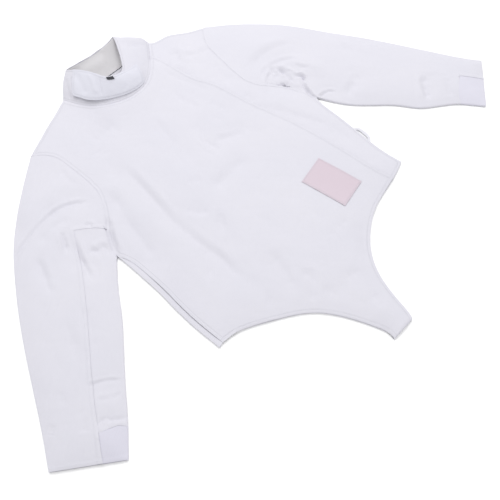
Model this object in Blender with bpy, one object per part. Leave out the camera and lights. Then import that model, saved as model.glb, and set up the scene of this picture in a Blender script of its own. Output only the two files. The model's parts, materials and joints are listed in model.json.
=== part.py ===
"""A white fencing jacket, laid flat on its back with its front up.

Sizes are in millimetres, and the solids are made in metres. X runs across the jacket towards
the wearer's left, Y up the body towards the neck, and Z up from the surface it lies on. The
origin is on that surface, under the middle of the line between the two shoulder tips. Left and
right are the wearer's.
"""
from collections import namedtuple
from math import cos, pi, sin

import bmesh
import bpy
import numpy as np

# Driving dimensions, mm
MM = 0.001
WALL = 2.2            # shell cloth with its backing
SEAM = 0.3            # gap between sewn pieces
UNDER_SEAM = 0.9      # and along a sleeve's long seam underneath
BODY_EDGE = 2 * WALL + SEAM      # height of the front over the surface where it meets the back
SLEEVE_EDGE = 5.4     # height of the fold along a sleeve
BULGE = 7.0           # how far the front stands over its edges
BULGE_REACH = 30.0    # distance from the edge in which it rises
SLEEVE_BULGE = 3.0    # how much higher a sleeve stands
FOLD_MARGIN = 14.0    # folds fade out this close to an edge
LAP = 12.0            # large front over left front
LAP_RAMP = 34.0       # distance in which the large front comes down from the lap
PLACKET_SHARE = 0.875 # where the large front's edge meets the neck, as a share of the neck line
LAP_SHARE = 0.836     # and where the left front's hidden edge meets it
SIDE_WRAP = 9.0       # back panel turned to the front along the right side
STRAP_TURN = 15.0     # length of the rolled end of the strap
COLLAR_WALL = 2.6
TAB_WALL = 1.8
TAB_SLACK = 3.5       # how far the tab's lower edge stands off the collar
PATCH_SIZE = (62.0, 92.0)
PATCH_CENTRE = (122.0, -448.0)
PATCH_TURN = 11.2     # degrees
PATCH_WALL = 0.9
PATCH_GAP = 0.5
LABEL_WALL = 0.8
LOOP_TAPE = 6.0       # width of the loop's tape
LOOP_WALL = 1.4

# Grid counts
BODY_ROWS = 40
ARMPIT_SHARE = 22 / BODY_ROWS    # of the armhole and side together
MAIN_GRIPS = (4, 2.5)
MAIN_COLUMNS = (8, 5, 6, 11)
STRAP_COLUMNS = slice(13, 19)     # of the large front, those that end in the strap's end
LEFT_COLUMNS = (2, 6)
SLEEVE_ROWS = 26
TURN_STEPS = 8        # round the strap's end
SHOULDER_STEPS = 6
COLLAR_COLUMNS = 48
COLLAR_ROWS = 7

# Outlines, each a list of points (x, y)
RIGHT_SHOULDER = [(-233, -1), (-197, 17), (-166, 33), (-140, 44), (-107, 62)]
LEFT_SHOULDER = [(111, 50), (121, 42), (132, 43), (146, 44), (160, 38), (180, 22), (205, 9),
                 (227, 1)]
FRONT_NECK = [(-107, 62), (-97, 33), (-81, 6), (-62, -16), (-36, -32), (-4, -40),
              (28, -37), (57, -19), (83, 11), (111, 50)]
BACK_NECK = [(-107, 62), (-60, 49), (0, 44), (60, 46), (111, 50)]
RIGHT_ARMHOLE = [(-233, -1), (-213, -18), (-200, -41), (-196, -84), (-192, -134), (-196, -164),
                 (-208, -193), (-228, -221), (-247, -250), (-252, -276)]
LEFT_ARMHOLE = [(227, 1), (210, -20), (195, -44), (190, -88), (184, -147), (188, -178),
                (201, -202), (222, -219), (239, -249), (253, -292)]
LEFT_BACK_ARMHOLE = [(227, 1), (211, -28), (203, -90), (206, -155), (221, -210), (237, -252),
                     (253, -292)]
RIGHT_SIDE = [(-252, -276), (-249, -314), (-246, -381), (-247, -421), (-246, -470), (-241, -523)]
LEFT_SIDE = [(253, -292), (249, -308), (249, -365), (246, -440), (247, -477), (252, -511)]
RIGHT_LEG = [(-241, -523), (-215, -520), (-181, -534), (-135, -560), (-106, -578), (-80, -601),
             (-57, -636), (-36, -680), (-27, -704)]
LEFT_LEG = [(25, -704), (29, -676), (42, -628), (63, -594), (84, -572), (114, -552),
            (140, -539), (178, -530), (213, -523)]
LEFT_HEM = [(213, -523), (232, -518), (252, -511)]
PLACKET = [(91, 22), (98, -17), (112, -90), (130, -130), (148, -216), (172, -298), (188, -388),
           (200, -482), (213, -523)]

# Sleeve outlines, from the armhole down
RIGHT_OUTER = [(-233, -1), (-274, -36), (-325, -84), (-372, -137), (-414, -201), (-442, -250),
               (-467, -298), (-497, -361), (-525, -420), (-555, -478)]
RIGHT_INNER = [(-252, -276), (-291, -327), (-321, -373), (-363, -427), (-393, -466),
               (-421, -504), (-459, -550)]
LEFT_OUTER = [(227, 1), (266, -28), (302, -61), (338, -100), (369, -144), (403, -200),
              (447, -269), (498, -362), (539, -436), (564, -474)]
LEFT_INNER = [(253, -292), (266, -320), (287, -354), (315, -384), (350, -419), (378, -459),
              (411, -484), (440, -507), (473, -549)]

# cross_seam: where the underarm panel starts, as a share of the sleeve's length, from the long
# seam towards the inner fold. cuff_start: where its knitted cuff starts, at the long seam and at
# the inner fold. seam: the long seam, as rows of (share of the length, share of the width from
# the outer fold)
Sleeve = namedtuple("Sleeve", "side cross_seam cuff_start seam")
SEAM_AT_ARMHOLE = 12 / 22
RIGHT_SLEEVE = Sleeve("right", (0.213, 0.16, 0.09, 0.014), (0.902, 0.857),
                      [(0, SEAM_AT_ARMHOLE), (0.11, 0.465), (0.213, 0.425), (0.33, 0.507),
                       (0.433, 0.550), (0.573, 0.587), (0.72, 0.600), (0.82, 0.615), (1, 0.683)])
LEFT_SLEEVE = Sleeve("left", (0.213, 0.139, 0.077, 0.012), (0.902, 0.857),
                     [(0, SEAM_AT_ARMHOLE), (0.18, 0.487), (0.367, 0.440), (0.59, 0.410),
                      (0.75, 0.415), (0.88, 0.448), (1, 0.436)])

# Round a sleeve, from the seam on the underside: flat to the outer fold, the fold itself in
# angles, over the top to the long seam, on to the inner fold, and back underneath
ARMHOLE_CHORDS = 11
UNDER_STEPS = np.array([0, 1 / 3, 2 / 3])
TURN = np.linspace(-pi / 2, pi / 2, 5)
AROUND = np.concatenate([UNDER_STEPS, TURN, np.arange(1, 7) / 6, np.arange(5) / 5, TURN[::-1],
                         [1 / 3, 2 / 3, 1]])
A, B, C, D, E, F = (slice(*ends) for ends in (
    (0, 3), (3, 8), (8, 14), (14, 19), (19, 24), (24, 27)))
LOWER = np.r_[0:5, 22:27]        # the underside, and the folds up to half their height

# Largest folds. height: over the cloth around, minus for a trough. width: half its width
Fold = namedtuple("Fold", "height width path")
FOLDS = [
    Fold(-4.0, 18, [(-146, -95), (-141, -156), (-140, -225), (-137, -290), (-134, -365),
                    (-131, -436), (-128, -505)]),
    Fold(2.4, 20, [(-168, -130), (-164, -225), (-160, -290), (-158, -400)]),
    Fold(-4.5, 19, [(-178, -165), (-187, -210), (-200, -266), (-214, -317), (-226, -367)]),
    Fold(-2.6, 15, [(-165, -253), (-179, -310), (-193, -364)]),
    Fold(-3.0, 15, [(47, -168), (28, -216), (17, -257)]),
    Fold(-3.0, 14, [(37, -229), (70, -238), (100, -245)]),
    Fold(-3.2, 16, [(53, -291), (4, -295), (-47, -305)]),
    Fold(-2.2, 16, [(-112, -296), (-94, -312), (-72, -336)]),
    Fold(-2.6, 16, [(-72, -345), (-82, -367), (-96, -396), (-112, -424)]),
    Fold(-2.6, 18, [(-5, -115), (-18, -153), (-25, -195), (-49, -234)]),
    Fold(-2.4, 16, [(-139, -79), (-103, -66), (-70, -56)]),
    Fold(-3.2, 16, [(165, -228), (173, -283), (190, -334), (211, -392), (222, -433)]),
    Fold(-2.6, 14, [(123, -28), (128, 0), (133, 24)]),
    Fold(3.0, 19, [(150, 20), (146, -10), (152, -60)]),
    Fold(-2.6, 16, [(-57, -462), (-72, -507), (-89, -550)]),
    Fold(-2.2, 16, [(-50, -585), (-15, -599), (30, -600)]),
    Fold(-3.0, 16, [(98, -541), (76, -570), (50, -600)]),
    Fold(3.0, 27, [(-4, -650), (-3, -700), (-3, -760)]),
    Fold(3.2, 22, [(-362, -126), (-330, -112), (-296, -100), (-262, -100), (-234, -116)]),
    Fold(-4.4, 18, [(-372, -150), (-340, -142), (-312, -134), (-281, -127), (-252, -132),
                    (-230, -148), (-214, -171)]),
    Fold(-3.6, 14, [(-290, -175), (-302, -199), (-312, -232), (-325, -262)]),
    Fold(-4.0, 14, [(-268, -200), (-284, -232), (-296, -262), (-306, -296)]),
    Fold(-3.0, 16, [(-353, -183), (-359, -209), (-367, -240)]),
    Fold(-3.2, 14, [(-436, -425), (-415, -438), (-392, -453)]),
    Fold(-2.6, 14, [(-470, -470), (-449, -482), (-428, -500)]),
    Fold(4.5, 21, [(213, -127), (254, -122), (293, -143), (327, -182)]),
    Fold(-3.6, 16, [(208, -158), (240, -155), (276, -172), (314, -207)]),
    Fold(5.0, 19, [(262, -192), (284, -206), (300, -232), (306, -262)]),
    Fold(-6.0, 14, [(236, -184), (248, -206), (262, -228), (258, -256)]),
    Fold(-3.6, 14, [(211, -200), (224, -235), (241, -268)]),
    Fold(-3.4, 14, [(262, -290), (282, -302), (300, -322), (326, -326), (355, -317)]),
    Fold(-3.8, 18, [(446, -418), (424, -443), (411, -462)]),
]
NECK_RISE = Fold(8.0, 34, [(-84, 8), (-62, -16), (-36, -32), (-4, -40), (28, -37), (57, -19),
                           (88, 14)])

# Collar, rings of points (x, y, z) of its outer side, from the right fold along the front
COLLAR_BASE = [(-105, 60, 5.2), (-96, 34, 9.5), (-80, 7, 12), (-61, -15, 14.5), (-35, -30.5, 16),
               (-4, -38.5, 16.5), (27.5, -35.5, 16.5), (56, -18, 16), (82, 12, 13.5),
               (104, 42, 9.5), (113, 56, 5.6), (103, 57, 1.2), (60, 49, 0), (0, 47, 0),
               (-60, 52, 0), (-97, 65, 1.2)]
COLLAR_MOUTH = [(-64, 97, 30), (-55.5, 78.5, 38), (-45, 60, 42), (-36, 41, 44), (-30, 21.5, 46),
                (-20.5, 7, 46), (-5.5, 3, 44), (12, 8, 40), (31, 37, 35), (49, 71.5, 29),
                (63.5, 104.5, 21), (53.5, 105, 17), (30, 103, 15), (1.5, 102, 15), (-25, 102.5, 18),
                (-49, 102, 23)]
COLLAR_BOW = 4.0      # outward bow of the collar at half height
CORNER_BOW = 8.0      # and near its foot at its left fold
CORNER_COLUMN = 30

# Edges of the tab over the collar's front, as (column, row) on the collar
TAB_LOW = [(2.8, 1.5), (4.3, 1.4), (6.3, 1.1), (10.3, 1.2), (12.8, 1.2), (15.5, 0.95), (18.5, 0.5)]
TAB_HIGH = [(3, 7), (6.3, 7), (11.3, 7), (14.3, 6.9), (18, 6.9), (20.25, 6.2), (22.3, 3.7)]
TAB_GAP = 0.7
TAB_STEPS = (32, 5)   # along it and across it
SLACK_COLUMNS = (0, 12)
LABEL_COLUMNS = (16.7, 20.2)     # where the label is, in steps of the tab
LABEL_ROWS = (4.15, 4.95)

# Side loop: where it leaves the side, and how far it stands out
LOOP_TOP = -396.0
LOOP_LENGTH = 42.0
LOOP_OUT = 11.0

WHITE = (0.82, 0.82, 0.86)
KNIT = (0.74, 0.73, 0.79)
PINK = (0.74, 0.63, 0.71)
BLACK = (0.04, 0.04, 0.05)


def clear_scene():
    for thing in list(bpy.data.objects):
        bpy.data.objects.remove(thing, do_unlink=True)


def finish_of(name, colour, roughness):
    material = bpy.data.materials.new(name)
    material.use_nodes = True
    shader = material.node_tree.nodes["Principled BSDF"]
    shader.inputs["Base Color"].default_value = (*colour, 1)
    shader.inputs["Roughness"].default_value = roughness
    shader.inputs["Metallic"].default_value = 0
    return material


def curve(*runs, steps=10):
    """A line through runs of points, smooth within a run, as a function of its share 0 to 1."""
    dense, ends = [], []
    for run in runs:
        p = np.array(run, float)
        p = np.vstack([2 * p[0] - p[1], p, 2 * p[-1] - p[-2]])
        t = np.linspace(0, 1, steps, endpoint=False)[:, None]
        for a, b, c, d in zip(p, p[1:], p[2:], p[3:]):
            dense.append(b + (c - a) * t / 2 + (a - 2.5 * b + 2 * c - d / 2) * t ** 2
                         + (1.5 * (b - c) + (d - a) / 2) * t ** 3)
        dense.append(p[-2:-1])
        ends.append(sum(len(part) for part in dense) - 1)
    dense = np.vstack(dense)
    length = np.r_[0, np.cumsum(np.linalg.norm(np.diff(dense, axis=0), axis=1))]

    def at(share):
        along = np.asarray(share, float) * length[-1]
        return np.stack([np.interp(along, length, dense[:, k]) for k in range(dense.shape[1])], -1)

    at.breaks = length[ends] / length[-1]
    return at


def chords(line, shares):
    """Straight lines from point to point of a line, as a function of its share."""
    points = line(shares)

    def at(share):
        return np.stack([np.interp(share, shares, points[:, k]) for k in (0, 1)], -1)

    at.breaks = shares
    return at


def steps_through(knots, counts):
    """Shares that meet each knot, with a count of steps between each two."""
    parts = [np.linspace(a, b, n, endpoint=False) for a, b, n in zip(knots, knots[1:], counts)]
    return np.concatenate([*parts, [knots[-1]]])


def sheet(top, bottom, left, right, across, down, side_grip=1, top_grip=1):
    """Points (x, y) of a sheet held by its four edges, at shares across and down.

    The grips say how fast the bow of an edge fades inwards: 1 evenly, more for sooner.
    """
    u, v = across[..., None], down[..., None]
    top_bow = top(across) - (1 - u) * top(0) - u * top(1)
    left_bow = left(down) - (1 - v) * left(0) - v * left(1)
    right_bow = right(down) - (1 - v) * right(0) - v * right(1)
    return ((1 - v) * ((1 - u) * top(0) + u * top(1)) + v * bottom(across)
            + (1 - v) ** top_grip * top_bow
            + (1 - u) ** side_grip * left_bow + u ** side_grip * right_bow)


def distance_to(points, line):
    """Distance from each point to a line of points, and the share of the line nearest it."""
    start, run = line[:-1], np.diff(line, axis=0)
    offset = points[:, None] - start[None]
    share = np.clip((offset * run).sum(-1) / (run ** 2).sum(-1), 0, 1)
    gap = np.linalg.norm(offset - share[..., None] * run, axis=-1)
    nearest = gap.argmin(1)
    rows = np.arange(len(points))
    return gap[rows, nearest], (nearest + share[rows, nearest]) / len(run)


def soft_step(x):
    x = np.clip(x, 0, 1)
    return x * x * (3 - 2 * x)


def fold_height(points, fold):
    line = curve(fold.path, steps=4)(np.linspace(0, 1, 25))
    gap, share = distance_to(points, line)
    ends = soft_step(share / 0.18) * soft_step((1 - share) / 0.18)
    return fold.height * np.exp(-(gap / fold.width) ** 2) * ends


STRAP_END = [RIGHT_LEG[-1], (-30, -719), (17, -719), LEFT_LEG[0]]
SILHOUETTE = curve(
    RIGHT_SHOULDER[::-1], RIGHT_OUTER, [RIGHT_OUTER[-1], RIGHT_INNER[-1]], RIGHT_INNER[::-1],
    RIGHT_SIDE, RIGHT_LEG, STRAP_END[:2], STRAP_END[1:3], STRAP_END[2:], LEFT_LEG, LEFT_HEM,
    LEFT_SIDE[::-1], LEFT_INNER, [LEFT_INNER[-1], LEFT_OUTER[-1]], LEFT_OUTER[::-1],
    LEFT_SHOULDER[::-1])(np.linspace(0, 1, 420))


def front_height(xy, edge=BODY_EDGE, extra=0.0):
    """Height of the cloth's upper side over the surface, at points (x, y) of the front."""
    points = xy.reshape(-1, 2)
    gap = distance_to(points, SILHOUETTE)[0]
    rise = (BULGE + np.ravel(extra)) * (1 - np.exp(-gap / BULGE_REACH))
    folds = sum(fold_height(points, fold) for fold in FOLDS) * soft_step(gap / FOLD_MARGIN)
    folds = folds + fold_height(points, NECK_RISE)
    return np.maximum(edge + rise + folds, edge).reshape(xy.shape[:-1])


def placket_lines(down):
    """The large front's edge, and the hidden edge of the left front under it."""
    neck = curve(FRONT_NECK)
    edge = curve(PLACKET)(down)
    edge[0] = neck(PLACKET_SHARE)
    inward = np.tile((-LAP, -0.16 * LAP), (len(down), 1))
    inward[0] = neck(LAP_SHARE) - edge[0]
    return edge, edge + inward


def make(name, vertices, faces, material):
    """One closed body from points in mm and its faces."""
    mesh = bpy.data.meshes.new(name)
    body = bmesh.new()
    corners = [body.verts.new(tuple(float(c) * MM for c in v)) for v in vertices]
    for face in faces:
        body.faces.new([corners[i] for i in face])
    bmesh.ops.recalc_face_normals(body, faces=body.faces[:])
    body.to_mesh(mesh)
    body.free()
    mesh.shade_smooth()
    mesh.set_sharp_from_angle(angle=pi / 5)
    mesh.materials.append(material)
    thing = bpy.data.objects.new(name, mesh)
    bpy.context.collection.objects.link(thing)
    return thing


def split(grid):
    """Which cells of a grid are cut from their first corner to the one across, the shorter way."""
    falling = np.linalg.norm(grid[1:, 1:] - grid[:-1, :-1], axis=-1)
    rising = np.linalg.norm(grid[1:, :-1] - grid[:-1, 1:], axis=-1)
    return falling <= rising


def wall(name, outer, inner, material, keep=None, closed=False):
    """A wall between two grids of points. keep says which cells it has; closed rows join up."""
    rows, columns = outer.shape[:2]
    cells = np.ones((rows - 1, columns if closed else columns - 1), bool)
    if keep is not None:
        cells &= keep
    used = {}

    def corner(layer, r, c):
        return used.setdefault((layer, r, c % columns), len(used))

    faces = []
    falling = split(np.concatenate([outer, outer[:, :1]], axis=1) if closed else outer)
    for r, c in np.argwhere(cells):
        ring = [(r, c), (r + 1, c), (r + 1, c + 1), (r, c + 1)]
        for layer in (0, 1):
            a, b, d, e = (corner(layer, *p) for p in ring)
            halves = [(a, b, d), (a, d, e)] if falling[r, c] else [(a, b, e), (b, d, e)]
            faces += halves if layer == 0 else [half[::-1] for half in halves]
        near = [(r, c - 1), (r + 1, c), (r, c + 1), (r - 1, c)]
        for k, (nr, nc) in enumerate(near):
            if closed:
                nc %= columns
            inside = 0 <= nr < cells.shape[0] and 0 <= nc < cells.shape[1]
            if inside and cells[nr, nc]:
                continue
            p, q = ring[k], ring[(k + 1) % 4]
            a, b = corner(0, *p), corner(0, *q)
            d, e = corner(1, *q), corner(1, *p)
            faces += [(a, d, b), (a, e, d)]
    grids = (outer, inner)
    vertices = [grids[layer][r, c] for layer, r, c in used]
    return make(name, vertices, faces, material)


def raised(xy, z):
    return np.dstack([xy, np.broadcast_to(z, xy.shape[:2])])


def armhole_top(side):
    """The armhole's chords on the upper side, as the front and the sleeve both have them."""
    line = curve(RIGHT_ARMHOLE if side == "right" else LEFT_ARMHOLE)
    return chords(line, np.linspace(0, 1, ARMHOLE_CHORDS + 1))


def armhole_under(side):
    """The armhole's chords on the underside, as the back and the sleeve both have them."""
    line = curve(RIGHT_ARMHOLE if side == "right" else LEFT_BACK_ARMHOLE)
    fold = SLEEVE_EDGE / 2 / np.linalg.norm(line(1) - line(0))
    steps = np.r_[UNDER_STEPS, 1]
    return chords(line, np.r_[0, fold + (SEAM_AT_ARMHOLE - fold) * steps,
                              SEAM_AT_ARMHOLE + (1 - fold - SEAM_AT_ARMHOLE) * steps[1:], 1])


def side_cut(share):
    """How far the back's turned strip reaches in from the right side, from the armpit down."""
    width = 1 + (SIDE_WRAP - 1) * soft_step(share / 0.15)
    return np.stack([width, 1.5 * soft_step((share - 0.8) / 0.2)], -1)


def right_edge(share):
    """The large front's edge along the right armhole and the side seam."""
    share = np.asarray(share, float)
    below = np.clip((share - ARMPIT_SHARE) / (1 - ARMPIT_SHARE), 0, 1)
    above = armhole_top("right")(np.clip(share / ARMPIT_SHARE, 0, 1))
    side = curve(RIGHT_SIDE)(below) + side_cut(below)
    return np.where((share < ARMPIT_SHARE)[..., None], above, side) + (SEAM, 0)


def left_edge(share):
    """The left front's edge along the left armhole and side."""
    share = np.asarray(share, float)
    below = np.clip((share - ARMPIT_SHARE) / (1 - ARMPIT_SHARE), 0, 1)
    above = armhole_top("left")(np.clip(share / ARMPIT_SHARE, 0, 1))
    return np.where((share <= ARMPIT_SHARE)[..., None], above, curve(LEFT_SIDE)(below)) - (SEAM, 0)


def strap_turn(edge, depth):
    """Rows of points that carry the front's last row round the strap's end to the back."""
    x, height = edge[:, 0], edge[:, 2]
    (left, y), (end_left, _), (end_right, _), (right, _) = STRAP_END
    end_x = end_left + np.clip((x - left) / (right - left), 0, 1) * (end_right - end_left)
    radius = height / 2
    rows = [np.stack([x + (end_x - x) * (0.6 + 0.4 * cos(t)),
                      y - STRAP_TURN + radius - (radius - depth) * cos(t),
                      radius + (radius - depth) * sin(t)], -1)
            for t in np.linspace(pi / 2, -pi / 2, TURN_STEPS)]
    under = np.stack([x, np.full_like(x, y - SEAM), np.full_like(x, depth)], -1)
    return np.array([*rows, under])


def front_panels(cloth):
    """The large front, with its strap that turns under at the end, and the left front."""
    rows = np.arange(BODY_ROWS + 1) / BODY_ROWS
    edge, hidden = placket_lines(rows)
    neck = curve(FRONT_NECK)
    top = curve(RIGHT_SHOULDER, neck(np.linspace(0, LAP_SHARE, 30)))
    hem = curve([tuple(right_edge(1.0))] + RIGHT_LEG[1:], [RIGHT_LEG[-1], LEFT_LEG[0]],
                LEFT_LEG[:-1] + [tuple(hidden[-1])])
    columns = steps_through([0, top.breaks[0], *hem.breaks], MAIN_COLUMNS)
    xy = sheet(top, hem, right_edge, curve(hidden), *np.meshgrid(columns, rows), *MAIN_GRIPS)
    xy[:, 0], xy[:, -1] = right_edge(rows), hidden
    xy = np.concatenate([xy, edge[:, None]], axis=1)
    gap = distance_to(xy.reshape(-1, 2), edge)[0].reshape(xy.shape[:2])
    lift = (WALL + SEAM) * (1 - soft_step((gap - LAP - 1) / LAP_RAMP))
    lift[:, -2:] = WALL + SEAM
    main = raised(xy, front_height(xy) + lift)
    outer = np.concatenate([main, strap_turn(main[-1], 0)])
    inner = np.concatenate([main - (0, 0, WALL), strap_turn(main[-1], WALL)])
    keep = np.zeros((len(outer) - 1, xy.shape[1] - 1), bool)
    keep[:BODY_ROWS] = True
    keep[:, STRAP_COLUMNS] = True
    wall("front_main", outer, inner, cloth, keep=keep)

    top = curve(neck(np.linspace(PLACKET_SHARE, 1, 5)), LEFT_SHOULDER)
    columns = steps_through([0, *top.breaks], LEFT_COLUMNS)
    xy = sheet(top, curve(LEFT_HEM), curve(edge), left_edge, *np.meshgrid(columns, rows))
    xy[:, 0], xy[:, -1] = edge, left_edge(rows)
    xy = np.concatenate([hidden[:, None], xy], axis=1)
    left = raised(xy, front_height(xy))
    wall("front_left", left, left - (0, 0, WALL), cloth)
    return main


def back_panel(cloth):
    """One flat panel; along the right side it is turned up and over, as high as the front."""
    below = np.arange(BODY_ROWS + 1) / BODY_ROWS
    below = (below[below >= ARMPIT_SHARE] - ARMPIT_SHARE) / (1 - ARMPIT_SHARE)
    left, right = armhole_under("left"), armhole_under("right")
    runs = [(curve(BACK_NECK), 8), (curve(LEFT_SHOULDER), 7), (left, left.breaks[:-1]),
            (curve(LEFT_SIDE), 7), (curve(LEFT_HEM[::-1]), 2), (curve(LEFT_LEG[::-1]), 16),
            (curve([LEFT_LEG[0], RIGHT_LEG[-1]]), 1), (curve(RIGHT_LEG[::-1]), 18),
            (curve(RIGHT_SIDE), below[:0:-1]), (right, right.breaks[:0:-1]),
            (curve(RIGHT_SHOULDER), SHOULDER_STEPS)]
    line = []
    for run, shares in runs:
        if np.isscalar(shares):
            shares = np.arange(shares) / shares
        line += [tuple(p) for p in run(shares)]
    n = len(below)
    count = len(line)
    first = count - SHOULDER_STEPS - len(right.breaks) - n + 2
    strip = list(range(first, first + n))
    low = [(x, y, 0) for x, y in line]
    top = [(x, y, WALL) for x, y in line]
    inside = [(line[i][0] + dx, line[i][1] + dy, 0)
              for i, (dx, dy) in zip(strip, side_cut(below[::-1]))]
    outer_high = [(*line[i], BODY_EDGE) for i in strip]
    inner_low = [(x, y, WALL) for x, y, _ in inside]
    inner_high = [(x, y, BODY_EDGE) for x, y, _ in inside]
    vertices = low + top + outer_high + inner_low + inner_high
    high, fold_low, fold_high = 2 * count, 2 * count + n, 2 * count + 2 * n
    faces = [list(range(count))]
    for i in range(count):
        j = (i + 1) % count
        if i in strip[:-1]:
            k = strip.index(i)
            face = [i, j, high + k + 1, high + k]
            face += [count + i] if k == 0 else []
            if k == n - 2:
                face.insert(2, count + j)
            faces.append(face)
            faces.append([high + k, high + k + 1, fold_high + k + 1, fold_high + k])
            faces.append([fold_high + k, fold_high + k + 1, fold_low + k + 1, fold_low + k])
        else:
            faces.append([i, j, count + j, count + i])
    for end, k in ((strip[0], 0), (strip[-1], n - 1)):
        faces.append([count + end, high + k, fold_high + k, fold_low + k])
    flat = [count + i for i in range(strip[0] + 1)]
    flat += [fold_low + k for k in range(n)]
    flat += [count + i for i in range(strip[-1], count)]
    faces.append(flat)
    used = sorted({i for face in faces for i in face})
    place = {old: new for new, old in enumerate(used)}
    make("back_panel", [vertices[i] for i in used], [[place[i] for i in f] for f in faces], cloth)


def sleeve(shape, cloth, knit):
    """A flat-lying tube in three pieces: round the outer fold, round the inner fold, and cuff."""
    right = shape.side == "right"
    outer = curve(RIGHT_OUTER if right else LEFT_OUTER)
    inner = curve(RIGHT_INNER if right else LEFT_INNER)
    cuff_end = curve([outer(1), inner(1)])
    half_gap = SEAM / np.linalg.norm(outer(1) - outer(0)) / 2
    start = np.full(len(AROUND), shape.cross_seam[-1])
    start[:D.start] = shape.cross_seam[0]
    start[D.start:D.stop - 1] = shape.cross_seam
    cuff = np.full(len(AROUND), shape.cuff_start[1])
    cuff[:D.start] = shape.cuff_start[0]
    cuff[D] = np.linspace(*shape.cuff_start, D.stop - D.start)
    stops = [(0 * start + 2 * half_gap, start - half_gap), (start + half_gap, cuff - half_gap),
             (cuff + half_gap, 1)]
    counts = [round(SLEEVE_ROWS * part) + 1 for part in (
        start[0], cuff[-1] - start[0], 1 - cuff[-1])]
    down = np.vstack([low + (high - low) * np.linspace(0, 1, n)[:, None]
                      for (low, high), n in zip(stops, counts)])
    width = np.linalg.norm(outer(down) - inner(down), axis=-1)
    radius = SLEEVE_EDGE / 2
    fold, gap = radius / width, SEAM / width / 2
    line = curve(shape.seam)(np.linspace(0, 1, 80))
    seam = np.interp(down, line[:, 0], line[:, 1])
    near, far = seam - gap, seam + gap
    under_gap = (UNDER_SEAM - SEAM) / width
    puff = SLEEVE_BULGE * soft_step(down / 0.25)
    walls = []
    for depth in (0, WALL):
        r = radius - depth
        bend = fold * (1 - r / radius * np.cos(AROUND))
        q = np.empty_like(down)
        for part, place in ((A, near + (fold - near) * AROUND), (B, bend),
                            (C, fold + (near - fold) * AROUND),
                            (D, far + (1 - fold - far) * AROUND), (E, 1 - bend),
                            (F, 1 - fold + (far + under_gap - 1 + fold) * AROUND)):
            q[:, part] = place[:, part]
        xy = sheet(armhole_top(shape.side), cuff_end, outer, inner, q, down)
        below = sheet(armhole_under(shape.side), cuff_end, outer, inner, q, down)
        z = front_height(xy, SLEEVE_EDGE, puff) - depth
        xy[:, LOWER] = below[:, LOWER]
        for part in (A, F):
            z[:, part] = depth
        for part in (B, E):
            z[:, part] = (radius + r * np.sin(AROUND))[part]
        walls.append(raised(xy, z))
    row, column = np.indices((len(down) - 1, len(AROUND)))
    panel_gap, cuff_gap = counts[0] - 1, counts[0] + counts[1] - 1
    outer_part = column < C.stop - 1
    inner_part = (column >= D.start) & (column < F.stop - 1)
    cap = (row < panel_gap) & (column < D.stop - 2)
    pieces = [("sleeve_{}_upper", outer_part | cap, cloth),
              ("sleeve_{}_under", inner_part & (row > panel_gap) & (row < cuff_gap), cloth),
              ("cuff_{}", inner_part & (row > cuff_gap), knit)]
    for name, keep, material in pieces:
        wall(name.format(shape.side), *walls, material, keep=keep, closed=True)


def ring(points, columns):
    """A smooth closed ring through the points, with the same number of steps between each."""
    p = np.array(points, float)
    steps = columns // len(p)
    t = np.arange(steps)[:, None] / steps
    parts = []
    for i in range(len(p)):
        a, b, c, d = (p[(i + k) % len(p)] for k in (-1, 0, 1, 2))
        parts.append(b + (c - a) * t / 2 + (a - 2.5 * b + 2 * c - d / 2) * t ** 2
                     + (1.5 * (b - c) + (d - a) / 2) * t ** 3)
    return np.vstack(parts)


def outward(grid):
    """Unit directions out of a ring-shaped grid."""
    along = np.roll(grid, -1, axis=1) - np.roll(grid, 1, axis=1)
    up = np.gradient(grid, axis=0)
    normal = np.cross(along, up)
    return normal / np.linalg.norm(normal, axis=-1, keepdims=True)


def collar(cloth):
    """The stand collar: a tube that leans over, from the neck seam to its open mouth."""
    base, mouth = ring(COLLAR_BASE, COLLAR_COLUMNS), ring(COLLAR_MOUTH, COLLAR_COLUMNS)
    share = np.linspace(0, 1, COLLAR_ROWS + 1)[:, None, None]
    outer = (1 - share) * base + share * mouth
    corner = np.exp(-((np.arange(COLLAR_COLUMNS) - CORNER_COLUMN) / 3) ** 2)[:, None]
    bow = (1 - corner) * COLLAR_BOW * np.sin(pi * share)
    bow = bow + corner * CORNER_BOW * np.sin(pi * share ** 0.45)
    outer = outer + bow * outward(outer)
    outer[..., 2] = np.maximum(outer[..., 2], 0)
    inner = outer - COLLAR_WALL * outward(outer)
    wall("collar", outer, inner, cloth, closed=True)
    return outer


def on_grid(grid, rows, columns):
    """Points on a grid's own faces, at places counted in rows and columns."""
    r = np.clip(np.floor(rows).astype(int), 0, grid.shape[0] - 2)
    c = np.clip(np.floor(columns).astype(int), 0, grid.shape[1] - 2)
    a, b = (rows - r)[..., None], (columns - c)[..., None]
    return ((1 - a) * (1 - b) * grid[r, c] + (1 - a) * b * grid[r, c + 1]
            + a * (1 - b) * grid[r + 1, c] + a * b * grid[r + 1, c + 1])


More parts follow.
